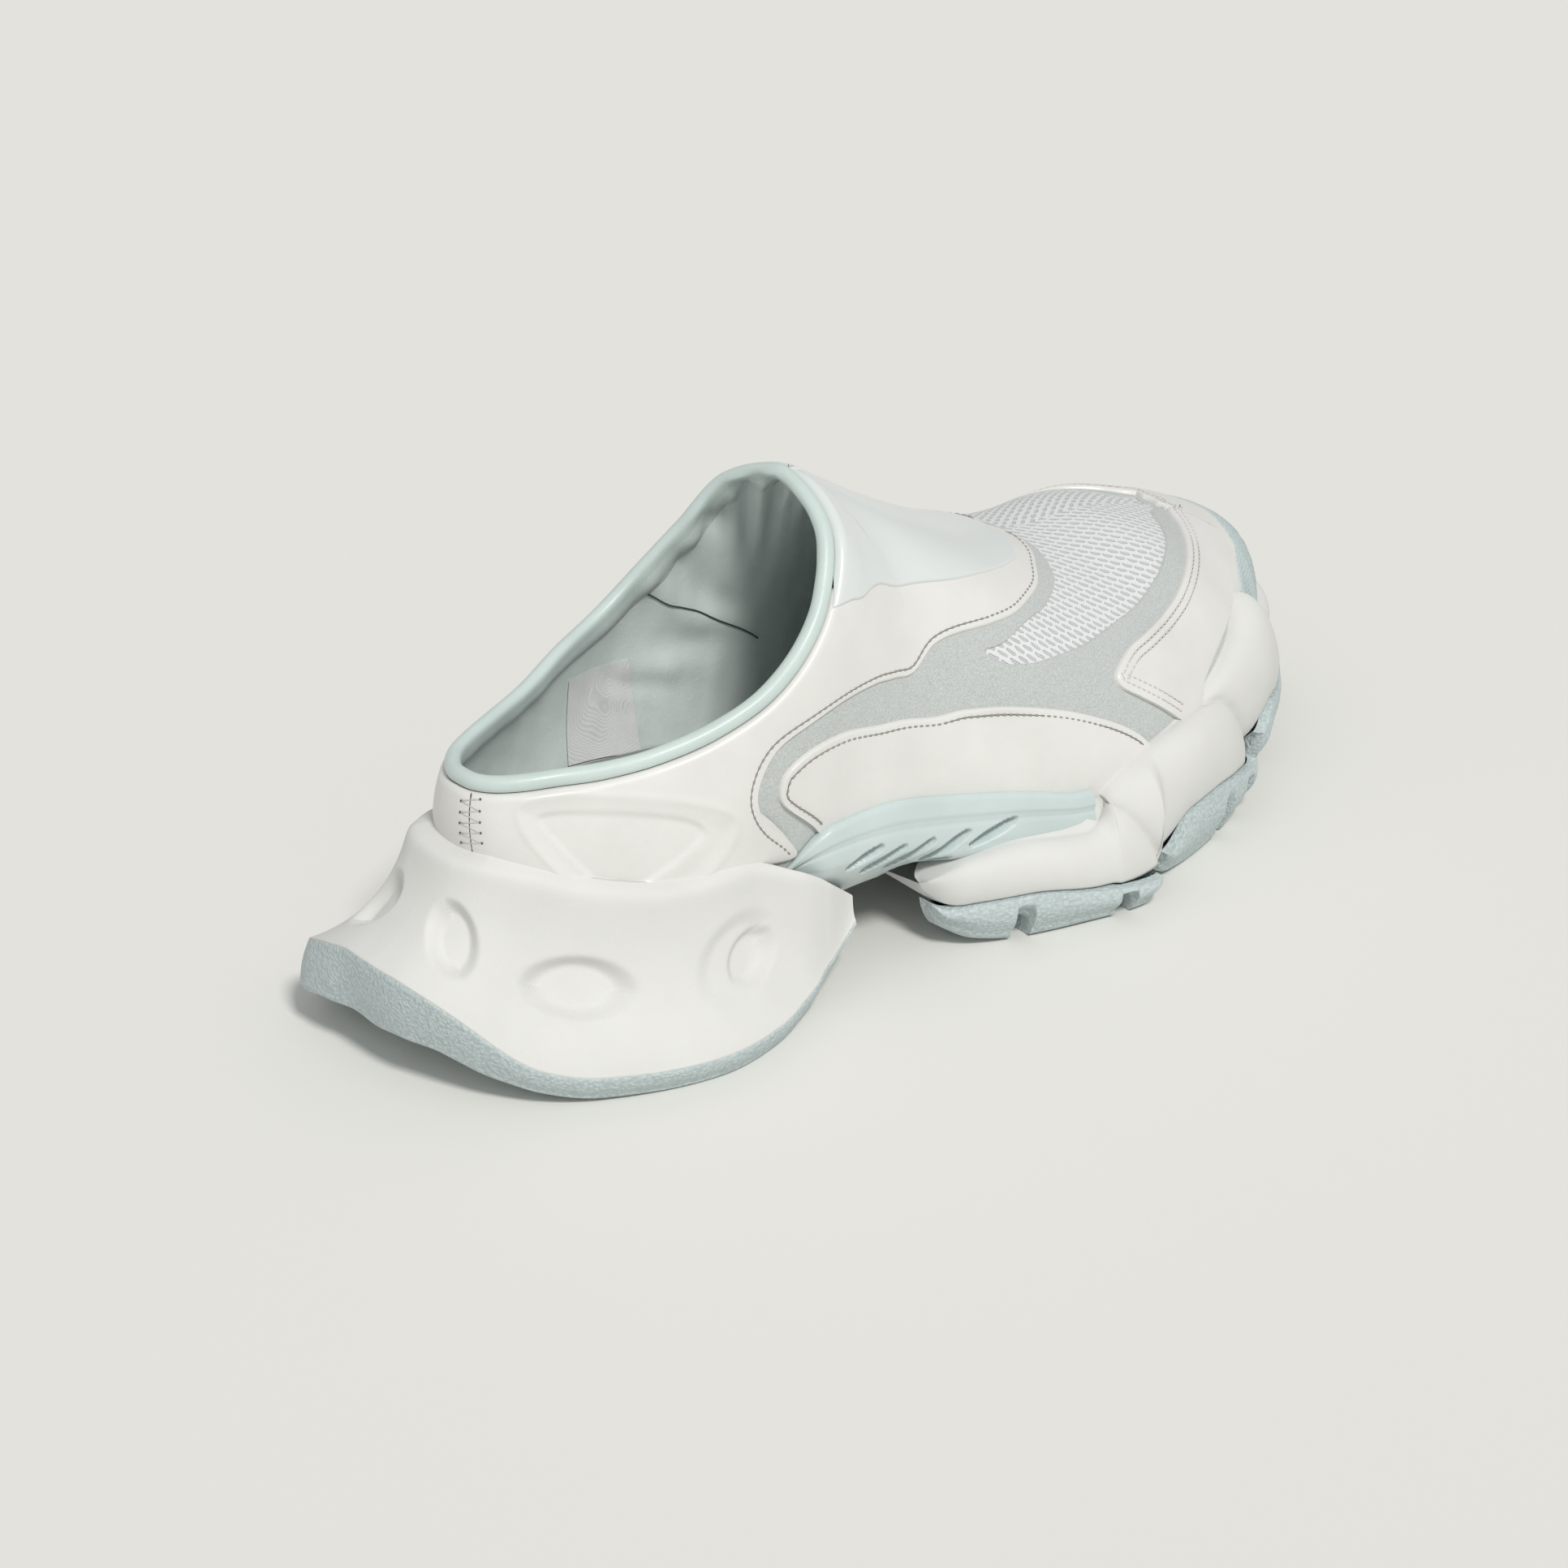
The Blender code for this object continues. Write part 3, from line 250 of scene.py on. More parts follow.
# Dimples of the heel foam: place (station, share of the way down), half sizes in mm, turn in
# degrees from level, depth in mm
DIMPLES = (
    (0.62, 0.500, 11.0, 7.0, -48, 3.4),
    (1.89, 0.470, 16.5, 8.6, 2, 3.8),
    (3.42, 0.440, 16.0, 11.0, 26, 1.5),
    (3.60, 0.470, 9.5, 6.6, 26, 2.2))
# Slots of the shank's sides: ends (x, z) in mm in the shoe's own frame, and half width
SLOTS = (
    (92.5, 33.6, 101.5, 36.6, 1.5), (98.5, 30.0, 109.0, 34.4, 1.4), (107.0, 28.4, 118.0, 33.4, 1.45),
    (117.5, 27.6, 129.0, 32.6, 1.5), (130.5, 28.8, 143.0, 32.4, 1.45), (109.5, 22.6, 124.0, 26.0, 1.1))
SLOT_DEPTH = 4.5 * MM
SHANK_BACK = 3.95
SHANK_FRONT = 7.28


def ease(t):
    t = np.clip(t, 0, 1)
    return t * t * (3 - 2 * t)


def unit(vectors):
    return vectors / np.linalg.norm(vectors, axis=-1, keepdims=True)


def bezier(t, a, b, c, d):
    return (1 - t) ** 3 * a + 3 * t * (1 - t) ** 2 * b + 3 * t * t * (1 - t) * c + t ** 3 * d


def hermite(t, a, slope_a, b, slope_b):
    return ((1 + 2 * t) * (1 - t) ** 2 * a + t * (1 - t) ** 2 * slope_a
            + t * t * (3 - 2 * t) * b + t * t * (t - 1) * slope_b)


def catmull_rom(t, p0, p1, p2, p3):
    cubic = -p0 + 3 * p1 - 3 * p2 + p3
    square = 2 * p0 - 5 * p1 + 4 * p2 - p3
    return 0.5 * (2 * p1 + (p2 - p0) * t + square * t ** 2 + cubic * t ** 3)


def smooth(values, at):
    """Point on the closed curve through the rows of values."""
    count = len(values)
    at = np.asarray(at, float) % count
    row = np.floor(at).astype(int)
    return catmull_rom((at - row)[..., None], *(values[(row + step) % count] for step in (-1, 0, 1, 2)))


def open_curve(values, at):
    """Point on the open curve through the rows of values, at from 0 to their last."""
    values = np.asarray(values, float)
    padded = np.concatenate([[2 * values[0] - values[1]], values, [2 * values[-1] - values[-2]]])
    at = np.clip(np.asarray(at, float), 0, len(values) - 1)
    row = np.clip(np.floor(at).astype(int), 0, len(values) - 2)
    return catmull_rom((at - row)[..., None], *(padded[row + step] for step in range(4)))


def blur(rows, weights):
    """Rows averaged with their neighbours; what the weights reach past the ends is lost."""
    weights = weights / weights.sum()
    return np.stack([np.convolve(column, weights, "valid") for column in rows.T], -1)


def both_sides(near, far):
    return np.concatenate([near, far[-2:0:-1]])


def column(name):
    index = SECTION_COLUMNS.index(name)
    return np.array([row[index] for row in SECTIONS], float)


FOOT_X = column("along") * LENGTH
FOOT_Z = column("lift") * HEEL_LIFT
FOOT = both_sides(*(
    np.stack([FOOT_X, column(side) * sign * BALL_WIDTH, FOOT_Z], 1) for side, sign in (("near", -1), ("far", 1))))
HANDLES = np.stack([
    column("rise") * INSTEP_HEIGHT, column("swell") * BALL_WIDTH,
    column("spread") * BALL_WIDTH, column("lead") * BALL_WIDTH,
    column("drop") * INSTEP_HEIGHT], 1)
HANDLES = both_sides(HANDLES, HANDLES)
RIM, RIDGE = (
    np.stack([column("top_along") * LENGTH, aside * BALL_WIDTH, column("top") * INSTEP_HEIGHT], 1)
    for aside in (-column("top_out"), column("top_y")))
RIM = both_sides(RIM[:THROAT + 1], RIM[:THROAT + 1] * (1, -1, 1))
RIDGE = RIDGE[THROAT:TOE]
# The rim at half stations round the collar, eased to the photo: a broader arch over the instep,
# and the inner side a little lower.  Rows: place, then mm along, across and up.
RIM_NUDGES = np.array((
    (0.0, 0.8, 0.0, 0.4), (1.0, 0.5, 0.0, 0.5), (3.0, 0.0, 0.0, 0.6), (5.0, 0.0, -1.5, 0.5),
    (5.5, 0.5, -4.3, 1.5), (6.0, 0.0, 0.0, 1.5), (6.5, 0.5, 4.3, 0.3), (7.0, 0.0, 0.5, -3.0),
    (7.5, 0.0, 0.0, -3.8), (8.0, 0.0, 0.0, -2.6), (8.5, 0.0, 0.0, -1.0), (10.0, 0.0, 0.0, -2.3),
    (11.0, 1.3, 0.0, -0.6)))
HALVES = np.arange(4 * THROAT) / 2
RIM_HALVES = smooth(RIM, HALVES) + MM * np.stack([
    np.interp(HALVES, RIM_NUDGES[:, 0], nudge, period=2 * THROAT) for nudge in RIM_NUDGES[:, 1:].T], 1)
RIDGE[0] += np.array((0.0, 0.0, 1.5)) * MM
RIDGE_SLOPES = np.gradient(RIDGE, axis=0)


def station_of(u):
    u = np.asarray(u, float) % (2 * TOE)
    return np.where(u <= TOE, u, 2 * TOE - u)


def rim_at(places):
    return smooth(RIM_HALVES, 2 * np.asarray(places, float))


def ridge(station):
    last = len(RIDGE) - 1
    along = np.clip(np.asarray(station, float) - THROAT, 0, last)
    row = np.clip(np.floor(along).astype(int), 0, last - 1)
    return hermite((along - row)[..., None], RIDGE[row], RIDGE_SLOPES[row], RIDGE[row + 1], RIDGE_SLOPES[row + 1])


def ridge_fall(station):
    step = 0.02
    low = np.clip(np.asarray(station, float), THROAT, THROAT + len(RIDGE) - 1 - 2 * step)
    ahead = ridge(low + 2 * step) - ridge(low)
    return ahead[..., 2] / ahead[..., 0]


def top_line(u):
    station = station_of(u)
    on_near = np.asarray(u, float) % (2 * TOE) <= TOE
    held_at = np.minimum(station, THROAT)
    rim = rim_at(np.where(on_near, held_at, 2 * THROAT - held_at))
    return np.where((station >= THROAT)[..., None], ridge(station), rim)


def outward(u):
    step = 0.01
    run = smooth(FOOT, np.asarray(u) + step) - smooth(FOOT, np.asarray(u) - step)
    return unit(np.stack([run[..., 1], -run[..., 0], 0 * run[..., 0]], -1))


def soft_top():
    """Top line with its corner at the throat rounded off, at SOFT_STEPS places per station."""
    places = np.arange(2 * TOE * SOFT_STEPS) / SOFT_STEPS
    sharp = top_line(places)
    half = int(SOFT_REACH * SOFT_STEPS)
    around = np.concatenate([sharp[-half:], sharp, sharp[:half]])
    blurred = blur(around, np.hanning(2 * half + 1))
    share = ease((ROUNDED - np.abs(station_of(places) - THROAT)) / 0.9)[:, None]
    return sharp + (blurred - sharp) * share


SOFT_TOP = soft_top()


def form(u, v):
    """Points of the form; below the collar the corner at the throat fades out."""
    u, v = np.broadcast_arrays(np.asarray(u, float), np.asarray(v, float))
    foot, sharp, handle, out = smooth(FOOT, u), top_line(u), smooth(HANDLES, u), outward(u)
    station = station_of(u)
    rise, swell, spread, lead, drop = (handle[..., i] for i in range(5))
    fall = ridge_fall(station) * ease((station - THROAT + 1.4) / 1.6)
    ahead = out[..., 0] * spread + lead
    place = (u % (2 * TOE)) * SOFT_STEPS
    row = np.floor(place).astype(int)
    t = (place - row)[..., None]
    soft = SOFT_TOP[row % len(SOFT_TOP)] * (1 - t) + SOFT_TOP[(row + 1) % len(SOFT_TOP)] * t
    top = sharp + (soft - sharp) * ease((0.995 - v) / 0.3)[..., None]
    low = foot + np.stack([out[..., 0] * swell, out[..., 1] * swell, rise], -1)
    high = top + np.stack([ahead, out[..., 1] * spread, fall * ahead - drop], -1)
    return bezier(v[..., None], foot, low, high, top)


def form_normal(u, v):
    u, v = np.broadcast_arrays(np.asarray(u, float), np.asarray(v, float))
    step = 0.004
    inside = np.clip(v, step, 1 - 3 * step)
    onward = form(u + step, inside) - form(u - step, inside)
    upward = form(u, inside + step) - form(u, inside - step)
    fall = ridge_fall(station_of(u))
    crest = unit(np.stack([-fall, 0 * fall, 1 + 0 * fall], -1))
    near_ridge = (np.clip((v - 0.96) / 0.04, 0, 1) * ease(station_of(u) - THROAT + 0.2))[..., None]
    return unit(unit(np.cross(onward, upward)) * (1 - near_ridge) + crest * near_ridge)


def skin(u, v, offset):
    return form(u, v) + form_normal(u, v) * np.asarray(offset)[..., None]


def grid(stations, rises):
    return np.meshgrid(stations, rises, indexing="ij")


def split(places):
    """Stations and rises of places."""
    return places[..., 0], places[..., 1]


def mirror(places):
    """The same places on the other side."""
    return places * (-1, 1) + (2 * TOE, 0)


def held(u):
    return np.clip(station_of(u), PIVOT_HEEL, PIVOT_TOE)


def spine(u, height):
    """The sole's middle line at some heights."""
    along = np.interp(held(u), range(TOE + 1), FOOT_X)
    side = np.interp(held(u), range(THROAT, TOE), RIDGE[:, 1])
    return np.stack([along, side, height], -1)


def bed(u):
    return np.interp(held(u), range(TOE + 1), FOOT_Z)


def gentle(at, stations, values):
    """Smooth run through a table's values that never overshoots them."""
    stations, values = np.array(stations, float), np.array(values, float)
    gap = np.diff(stations)
    rate = np.diff(values) / gap
    slope = np.concatenate([rate[:1], 0 * rate[1:], rate[-1:]])
    turns = rate[:-1] * rate[1:] <= 0
    first, second = 2 * gap[1:] + gap[:-1], gap[1:] + 2 * gap[:-1]
    safe_a, safe_b = np.where(turns, 1, rate[:-1]), np.where(turns, 1, rate[1:])
    slope[1:-1] = np.where(turns, 0, (first + second) / (first / safe_a + second / safe_b))
    at = np.clip(at, stations[0], stations[-1])
    row = np.clip(np.searchsorted(stations, at, side="right") - 1, 0, len(gap) - 1)
    t = (at - stations[row]) / gap[row]
    return hermite(t, values[row], slope[row] * gap[row], values[row + 1], slope[row + 1] * gap[row])


def table_reader(names, rows):
    stations = [row[0] for row in rows]

    def read(name, u):
        u = np.asarray(u, float)
        near = gentle(station_of(u), stations, [row[names.index(name)] for row in rows])
        if name + "_far" not in names:
            return near
        far = gentle(station_of(u), stations, [row[names.index(name + "_far")] for row in rows])
        inner = (u < 0) | (u > TOE)
        # At the back the two sides meet over half a station
        share = np.where(np.abs(u) < 0.5, 0.5 - u, inner)
        return near + (far - near) * share
    return read


heel_table = table_reader(HEEL_COLUMNS, HEEL_SOLE)
shank_table = table_reader(SHANK_COLUMNS, SHANK)
fore_table = table_reader(FORE_COLUMNS, FORE_SOLE)


def rise_at(u, height):
    """Rises at which the form reaches the heights."""
    tries = np.linspace(0, 0.8, 41)
    heights = form(u[:, None], tries[None, :])[..., 2]
    return np.array([np.interp(level, row, tries) for level, row in zip(height, heights)])


def frame_shift():
    """How far the shoe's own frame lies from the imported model's, from the upper's box."""
    low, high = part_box("upper")
    places = np.linspace(0, 2 * TOE, 481)
    grid = form(places[:, None], np.linspace(0, 1, 25)[None, :]).reshape(-1, 3)
    middle = (grid.min(axis=0) + grid.max(axis=0)) / 2
    return np.array(((low[0] + high[0]) / 2 - middle[0], (low[1] + high[1]) / 2 - middle[1],
                     low[2] - grid[:, 2].min()))


SHIFT = frame_shift()


# Meshes

def add_mesh(name, vertices, quads, look, nodes=(), uv=None, smooth_angle=None):
    mesh = bpy.data.meshes.new(name)
    vertices = np.asarray(vertices, np.float32) + SHIFT.astype(np.float32)
    quads = np.asarray(quads, np.int32)
    sides = quads.shape[1]
    mesh.vertices.add(len(vertices))
    mesh.vertices.foreach_set("co", vertices.ravel())
    mesh.loops.add(quads.size)
    mesh.loops.foreach_set("vertex_index", quads.ravel())
    mesh.polygons.add(len(quads))
    mesh.polygons.foreach_set("loop_start", np.arange(0, quads.size, sides, dtype=np.int32))
    mesh.update(calc_edges=True)
    if uv is not None:
        layer = mesh.uv_layers.new(name="chart")
        layer.data.foreach_set("uv", np.asarray(uv, np.float32)[quads.ravel()].ravel())
    mesh.validate()
    mesh.shade_smooth()
    if smooth_angle:
        mesh.set_sharp_from_angle(angle=math.radians(smooth_angle))
    mesh.materials.append(look)
    piece = bpy.data.objects.new(name, mesh)
    bpy.context.scene.collection.objects.link(piece)
    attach(piece, "root")
    if nodes:
        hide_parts(*nodes)
    return piece


def grid_quads(rows, columns, closed=False, flip=False):
    first = np.arange(rows if closed else rows - 1)[:, None]
    here, after = first * columns, (first + 1) % rows * columns
    row = np.arange(columns - 1)[None, :]
    quads = np.stack([here + row, after + row, after + row + 1, here + row + 1], -1).reshape(-1, 4)
    return quads[:, ::-1] if flip else quads


def sheet(name, points, look, nodes=(), closed=False, flip=False, uv=None, smooth_angle=None):
    """Mesh of a grid of points, rows round the shoe and columns up it."""
    rows, columns = points.shape[:2]
    flat_uv = None if uv is None else uv.reshape(-1, 2)
    return add_mesh(name, points.reshape(-1, 3), grid_quads(rows, columns, closed, flip),
                    look, nodes, flat_uv, smooth_angle)


def lengths_along(points):
    """Running length along the last-but-one axis of points."""
    steps = np.linalg.norm(np.diff(points, axis=-2), axis=-1)
    first = np.zeros(steps.shape[:-1] + (1,))
    return np.concatenate([first, np.cumsum(steps, axis=-1)], axis=-1)


def shoulder(distance, radius):
    """Rounded edge of a sheet: 0 at the edge to 1 past radius."""
    t = np.clip(distance / radius, 0, 1)
    return np.sqrt(np.clip(1 - (1 - t) ** 2, 0, 1))


def noise(points, size, seed=0):
    """Smooth value between -1 and 1 that wanders over about size."""
    rng = np.random.default_rng(seed)
    total = np.zeros(points.shape[:-1])
    for _ in range(7):
        direction = rng.normal(size=3)
        direction *= 2 * math.pi / size / np.linalg.norm(direction) * rng.uniform(0.6, 1.3)
        total += np.sin(points @ direction + rng.uniform(0, 2 * math.pi))
    return total / 4.2


def foam_place(station):
    """Place (u, v) on the form a little below the heel foam's top edge."""
    at = np.array([float(station)])
    height = smooth(FOOT, at)[:, 2] + heel_table("top", at) * HEEL_LIFT - 1.5 * MM
    return station, float(rise_at(at, height)[0])


def edge_curves(rungs, count):
    """Both edges of a sheet at count places, evenly along their mean length."""
    edges = [[foam_place(second[0]) if start is FOAM else start for start, second in rungs],
             [second for _, second in rungs]]

    def curves(at):
        return [np.clip(open_curve(edge, at), (-np.inf, 0), (np.inf, 1)) for edge in edges]
    fine = np.linspace(0, len(rungs) - 1, 30 * len(rungs))
    a, b = curves(fine)
    run = lengths_along(form(*split(a))) + 0.5 * lengths_along(form(*split(b)))
    return curves(np.interp(np.linspace(0, run[-1], count), run, fine))


def both_halves(curves):
    """A run that ends on the middle line carried on over the inner side."""
    return [np.concatenate([curve, mirror(curve[-2::-1])]) for curve in curves]


def across(a, b, shares):
    """Grid of points on the way from each of a to its partner in b."""
    return a[:, None] + (b - a)[:, None] * shares[None, :, None]


def join_columns(*parts):
    """One grid of points from grids and single columns."""
    return np.concatenate([part[:, None] if part.ndim == 2 else part for part in parts], axis=1)


def sheet_grid(curves, steps):
    """Places across a sheet, closer together near its edges, and their distances to both."""
    places = across(*curves, 0.5 - 0.5 * np.cos(np.linspace(0, math.pi, steps)))
    run = lengths_along(form(*split(places)))
    return places, run, run[:, -1:] - run


def segment_gap(points, a, b):
    """Distance of the points to a segment, and their share of the way along it."""
    run = b - a
    share = np.clip(((points - a) @ run) / (run @ run), 0, 1)
    return np.linalg.norm(points - a - share[..., None] * run, axis=-1), share


def rim_distance(points):
    """Distance to the collar's rim."""
    rim = rim_at(np.linspace(0, 2 * THROAT, 200, endpoint=False))
    return np.min([segment_gap(points, a, b)[0] for a, b in zip(rim, np.roll(rim, -1, axis=0))], axis=0)


def overlay(name, curves, steps, height, radius, look, nodes, base_height, relief=None,
            second_edge=True):
    """Sheet on the form, with rounded edges and tucked in at the rim.  relief(places) adds to its height."""
    places, from_first, from_second = sheet_grid(curves, steps)
    distance = np.minimum(from_first, from_second) if second_edge else from_first
    offset = base_height + (height - base_height) * shoulder(distance, radius)
    if relief:
        offset = offset + relief(places) * ease(distance / (2 * radius))
    tuck = shoulder(rim_distance(form(*split(places))), TUCK_REACH)
    points = skin(*split(places), -RIM_TUCK + (offset + RIM_TUCK) * tuck)
    uv = np.stack([lengths_along(points.swapaxes(0, 1)).swapaxes(0, 1), lengths_along(points)], -1)
    return sheet(name, points, look, nodes, uv=uv)


def inset_line(curves, inset):
    """Line of places that lies inset inside the first edge."""
    edge, other = curves
    step = 0.01
    near = 4   # places to each side that a place is averaged with
    u, v = edge[:, 0], np.clip(edge[:, 1], step, 1 - step)
    by_u = (form(u + step, v) - form(u - step, v)) / (2 * step)
    by_v = (form(u, v + step) - form(u, v - step)) / (2 * step)
    spot = form(u, v)
    aside = unit(np.cross(form_normal(u, v), np.gradient(spot, axis=0)))
    inward = ((form(*split(other)) - spot) * aside).sum(-1)
    want = aside * (1.0 if inward[len(inward) // 2] > 0 else -1.0) * inset
    uu, uv, vv = (by_u * by_u).sum(-1), (by_u * by_v).sum(-1), (by_v * by_v).sum(-1)
    du, dv = (by_u * want).sum(-1), (by_v * want).sum(-1)
    area = uu * vv - uv * uv
    move = np.stack([(vv * du - uv * dv) / area, (uu * dv - uv * du) / area], -1)
    line = edge + np.clip(move, -INSET_LIMIT, INSET_LIMIT)
    # The sheets' sharp corners are rounded off on each side of the ridge, which isn't crossed
    pieces = []
    for piece in np.split(line, np.nonzero(np.abs(np.diff(edge[:, 0])) > 1)[0] + 1):
        padded = np.concatenate([piece[:1].repeat(near, 0), piece, piece[-1:].repeat(near, 0)])
        pieces.append(blur(padded, np.hanning(2 * near + 1)))
    line = np.concatenate(pieces)
    return line[(line[:, 1] > 0.01) & (line[:, 1] < 0.985)]


def resample(points, run, at):
    """Points at some running lengths along a line."""
    return np.stack([np.interp(at, run, column) for column in points.T], -1)


def curve_frames(points, normals, pitch):
    """Evenly spaced points along a line, with tangents, sides and normals."""
    run = lengths_along(points)
    count = max(2, int(run[-1] / pitch))
    at = (np.arange(count) + 0.5) * run[-1] / count
    tangent = unit(resample(points, run, at + 0.3 * pitch) - resample(points, run, at - 0.3 * pitch))
    normal = resample(normals, run, at)
    normal = unit(normal - tangent * (normal * tangent).sum(-1, keepdims=True))
    return resample(points, run, at), tangent, np.cross(normal, tangent), normal


def pill(sides, rings):
    """Vertices and quads of a unit pill along x, with six sides closed by two quads at each end."""
    turn = np.linspace(0, 2 * math.pi, sides, endpoint=False)
    arc = np.linspace(0.18, math.pi - 0.18, rings)
    vertices = np.array([(x, r * math.cos(a), r * math.sin(a))
                         for x, r in zip(-np.cos(arc), np.sin(arc) ** 0.6) for a in turn])
    quads = [(ring * sides + side, ring * sides + (side + 1) % sides,
              (ring + 1) * sides + (side + 1) % sides, (ring + 1) * sides + side)
             for ring in range(rings - 1) for side in range(sides)]
    ends = [[(first, first + 1, first + 2, first + 3), (first, first + 3, first + 4, first + 5)]
            for first in (0, (rings - 1) * sides)]
    quads += [quad[::-1] for quad in ends[0]] + ends[1]
    return vertices, np.array(quads)


def copies(name, frames, sizes, look, shape=None):
    """One mesh with a pill at each frame; sizes are half sizes along, across and up."""
    shape_vertices, shape_quads = shape or pill(6, 4)
    center, tangent, side, normal = frames
    sizes = np.broadcast_to(np.asarray(sizes, float), (len(center), 3))
    axes = np.stack([tangent, side, normal], 1)
    local = shape_vertices[None] * sizes[:, None, :]
    vertices = center[:, None] + np.einsum("nvi,nij->nvj", local, axes)
    quads = shape_quads[None] + (np.arange(len(center)) * len(shape_vertices))[:, None, None]
    return add_mesh(name, vertices.reshape(-1, 3), quads.reshape(-1, 4), look)


def join_frames(frames):
    return [np.concatenate(parts) for parts in zip(*frames)]


def stitch_frames(line, height):
    """Frames of the stitches and of the painted shade of their needle holes on a line of places."""
    center, tangent, side, normal = curve_frames(
        skin(*split(line), height), form_normal(*split(line)), STITCH_PITCH)
    return (center, tangent, side, normal), (center + tangent * STITCH_PITCH / 2, tangent, side, normal)


# Materials

def new_look(name):
    look = bpy.data.materials.new(name)
    look.use_nodes = True
    return look, look.node_tree


def node(tree, kind, inputs=None, **settings):
    made = tree.nodes.new(kind)
    for key, value in settings.items():
        setattr(made, key, value)
    for key, value in (inputs or {}).items():
        if isinstance(value, bpy.types.NodeSocket):
            tree.links.new(value, made.inputs[key])
        else:
            made.inputs[key].default_value = value
    return made


def place_socket(tree):
    return node(tree, "ShaderNodeTexCoord").outputs["Object"]


def noise_socket(tree, scale, detail, rough=0.55):
    return node(tree, "ShaderNodeTexNoise", {
        "Vector": place_socket(tree), "Scale": scale, "Detail": detail, "Roughness": rough}).outputs["Fac"]


def cells_socket(tree, scale, feature="F1", randomness=1.0, vector=None):
    return node(tree, "ShaderNodeTexVoronoi", {
        "Vector": vector or place_socket(tree), "Scale": scale, "Randomness": randomness},
        feature=feature).outputs["Distance"]


def wave_socket(tree, vector, scale, distortion, direction):
    made = node(tree, "ShaderNodeTexWave", {"Vector": vector, "Scale": scale, "Distortion": distortion},
                bands_direction=direction)
    return made.outputs["Fac"]


def math_socket(tree, operation, *operands, clamp=False):
    inputs = dict(enumerate(operands))
    return node(tree, "ShaderNodeMath", inputs, operation=operation, use_clamp=clamp).outputs[0]


def ramp_socket(tree, factor, low, high):
    """Evenly from 0 at low to 1 at high."""
    return node(tree, "ShaderNodeMapRange", {"Value": factor, "From Min": low, "From Max": high}).outputs[0]


def mix_color(tree, factor, first, second):
    made = node(tree, "ShaderNodeMix", data_type="RGBA")
    for index, value in ((0, factor), (6, first), (7, second)):
        if isinstance(value, bpy.types.NodeSocket):
            tree.links.new(value, made.inputs[index])
        else:
            made.inputs[index].default_value = value if index == 0 else (*value, 1.0)
    return made.outputs[2]


def dress(look, color, rough, bumps, values):
    """Finishes a look: colour and roughness sockets, bumps one on another as rows of height socket,
    strength and mm, and values of other inputs."""
    tree = look.node_tree
    inputs = tree.nodes["Principled BSDF"].inputs
    tree.links.new(color, inputs["Base Color"])
    tree.links.new(rough, inputs["Roughness"])
    for name, value in values.items():
        inputs[name].default_value = value
    normal = None
    for height, strength, depth in bumps:
        made = node(tree, "ShaderNodeBump", {"Height": height, "Strength": strength, "Distance": depth * MM})
        if normal:
            tree.links.new(normal, made.inputs["Normal"])
        normal = made.outputs["Normal"]
    tree.links.new(normal, inputs["Normal"])
    return look


def leather_look(name, color, shade, rough, grain=1500, grain_depth=0.05, coat=0.0, crease=0.0):
    look, tree = new_look(name)
    blotch, fine = noise_socket(tree, 55, 4), noise_socket(tree, 900, 3)
    base = mix_color(tree, ramp_socket(tree, blotch, 0.35, 0.7), shade, color)
    bumps = [(noise_socket(tree, 180, 4), 0.25, 0.25), (cells_socket(tree, grain), 0.35, grain_depth),
             (noise_socket(tree, 3800, 2), 0.25, 0.03)]
    if crease:
        bumps.insert(0, (noise_socket(tree, 70, 5, 0.62), 0.5, crease))
    values = {"Specular IOR Level": 0.42}
    if coat:
        values.update({"Coat Weight": coat, "Coat Roughness": 0.22})
    return dress(look, mix_color(tree, math_socket(tree, "MULTIPLY", fine, 0.16), base, shade),
                 math_socket(tree, "MULTIPLY_ADD", blotch, 0.22, rough - 0.11), bumps, values)


def suede_look():
    look, tree = new_look("grey_suede")
    speck, patch = noise_socket(tree, 2600, 3, 0.7), noise_socket(tree, 160, 4)
    nap = mix_color(tree, ramp_socket(tree, speck, 0.36, 0.66), (0.42, 0.455, 0.445), (0.66, 0.69, 0.675))
    return dress(look, mix_color(tree, math_socket(tree, "MULTIPLY", patch, 0.30), nap, (0.60, 0.63, 0.61)),
                 ramp_socket(tree, patch, -3.6, 1.6), [(patch, 0.4, 0.3), (speck, 0.8, 0.22)],
                 {"Sheen Weight": 0.35, "Sheen Roughness": 0.5, "Specular IOR Level": 0.2})


def foam_look():
    look, tree = new_look("moulded_foam")
    cloud, speck = noise_socket(tree, 40, 3), noise_socket(tree, 2200, 2)
    color = mix_color(tree, ramp_socket(tree, cloud, 0.3, 0.75), (0.70, 0.70, 0.68), (0.74, 0.74, 0.72))
    bumps = [(noise_socket(tree, 260, 3), 0.25, 0.3), (cells_socket(tree, 2300), 0.3, 0.05),
             (speck, 0.3, 0.06)]
    return dress(look, color, ramp_socket(tree, speck, -1.4, 1.35), bumps, {"Specular IOR Level": 0.32})


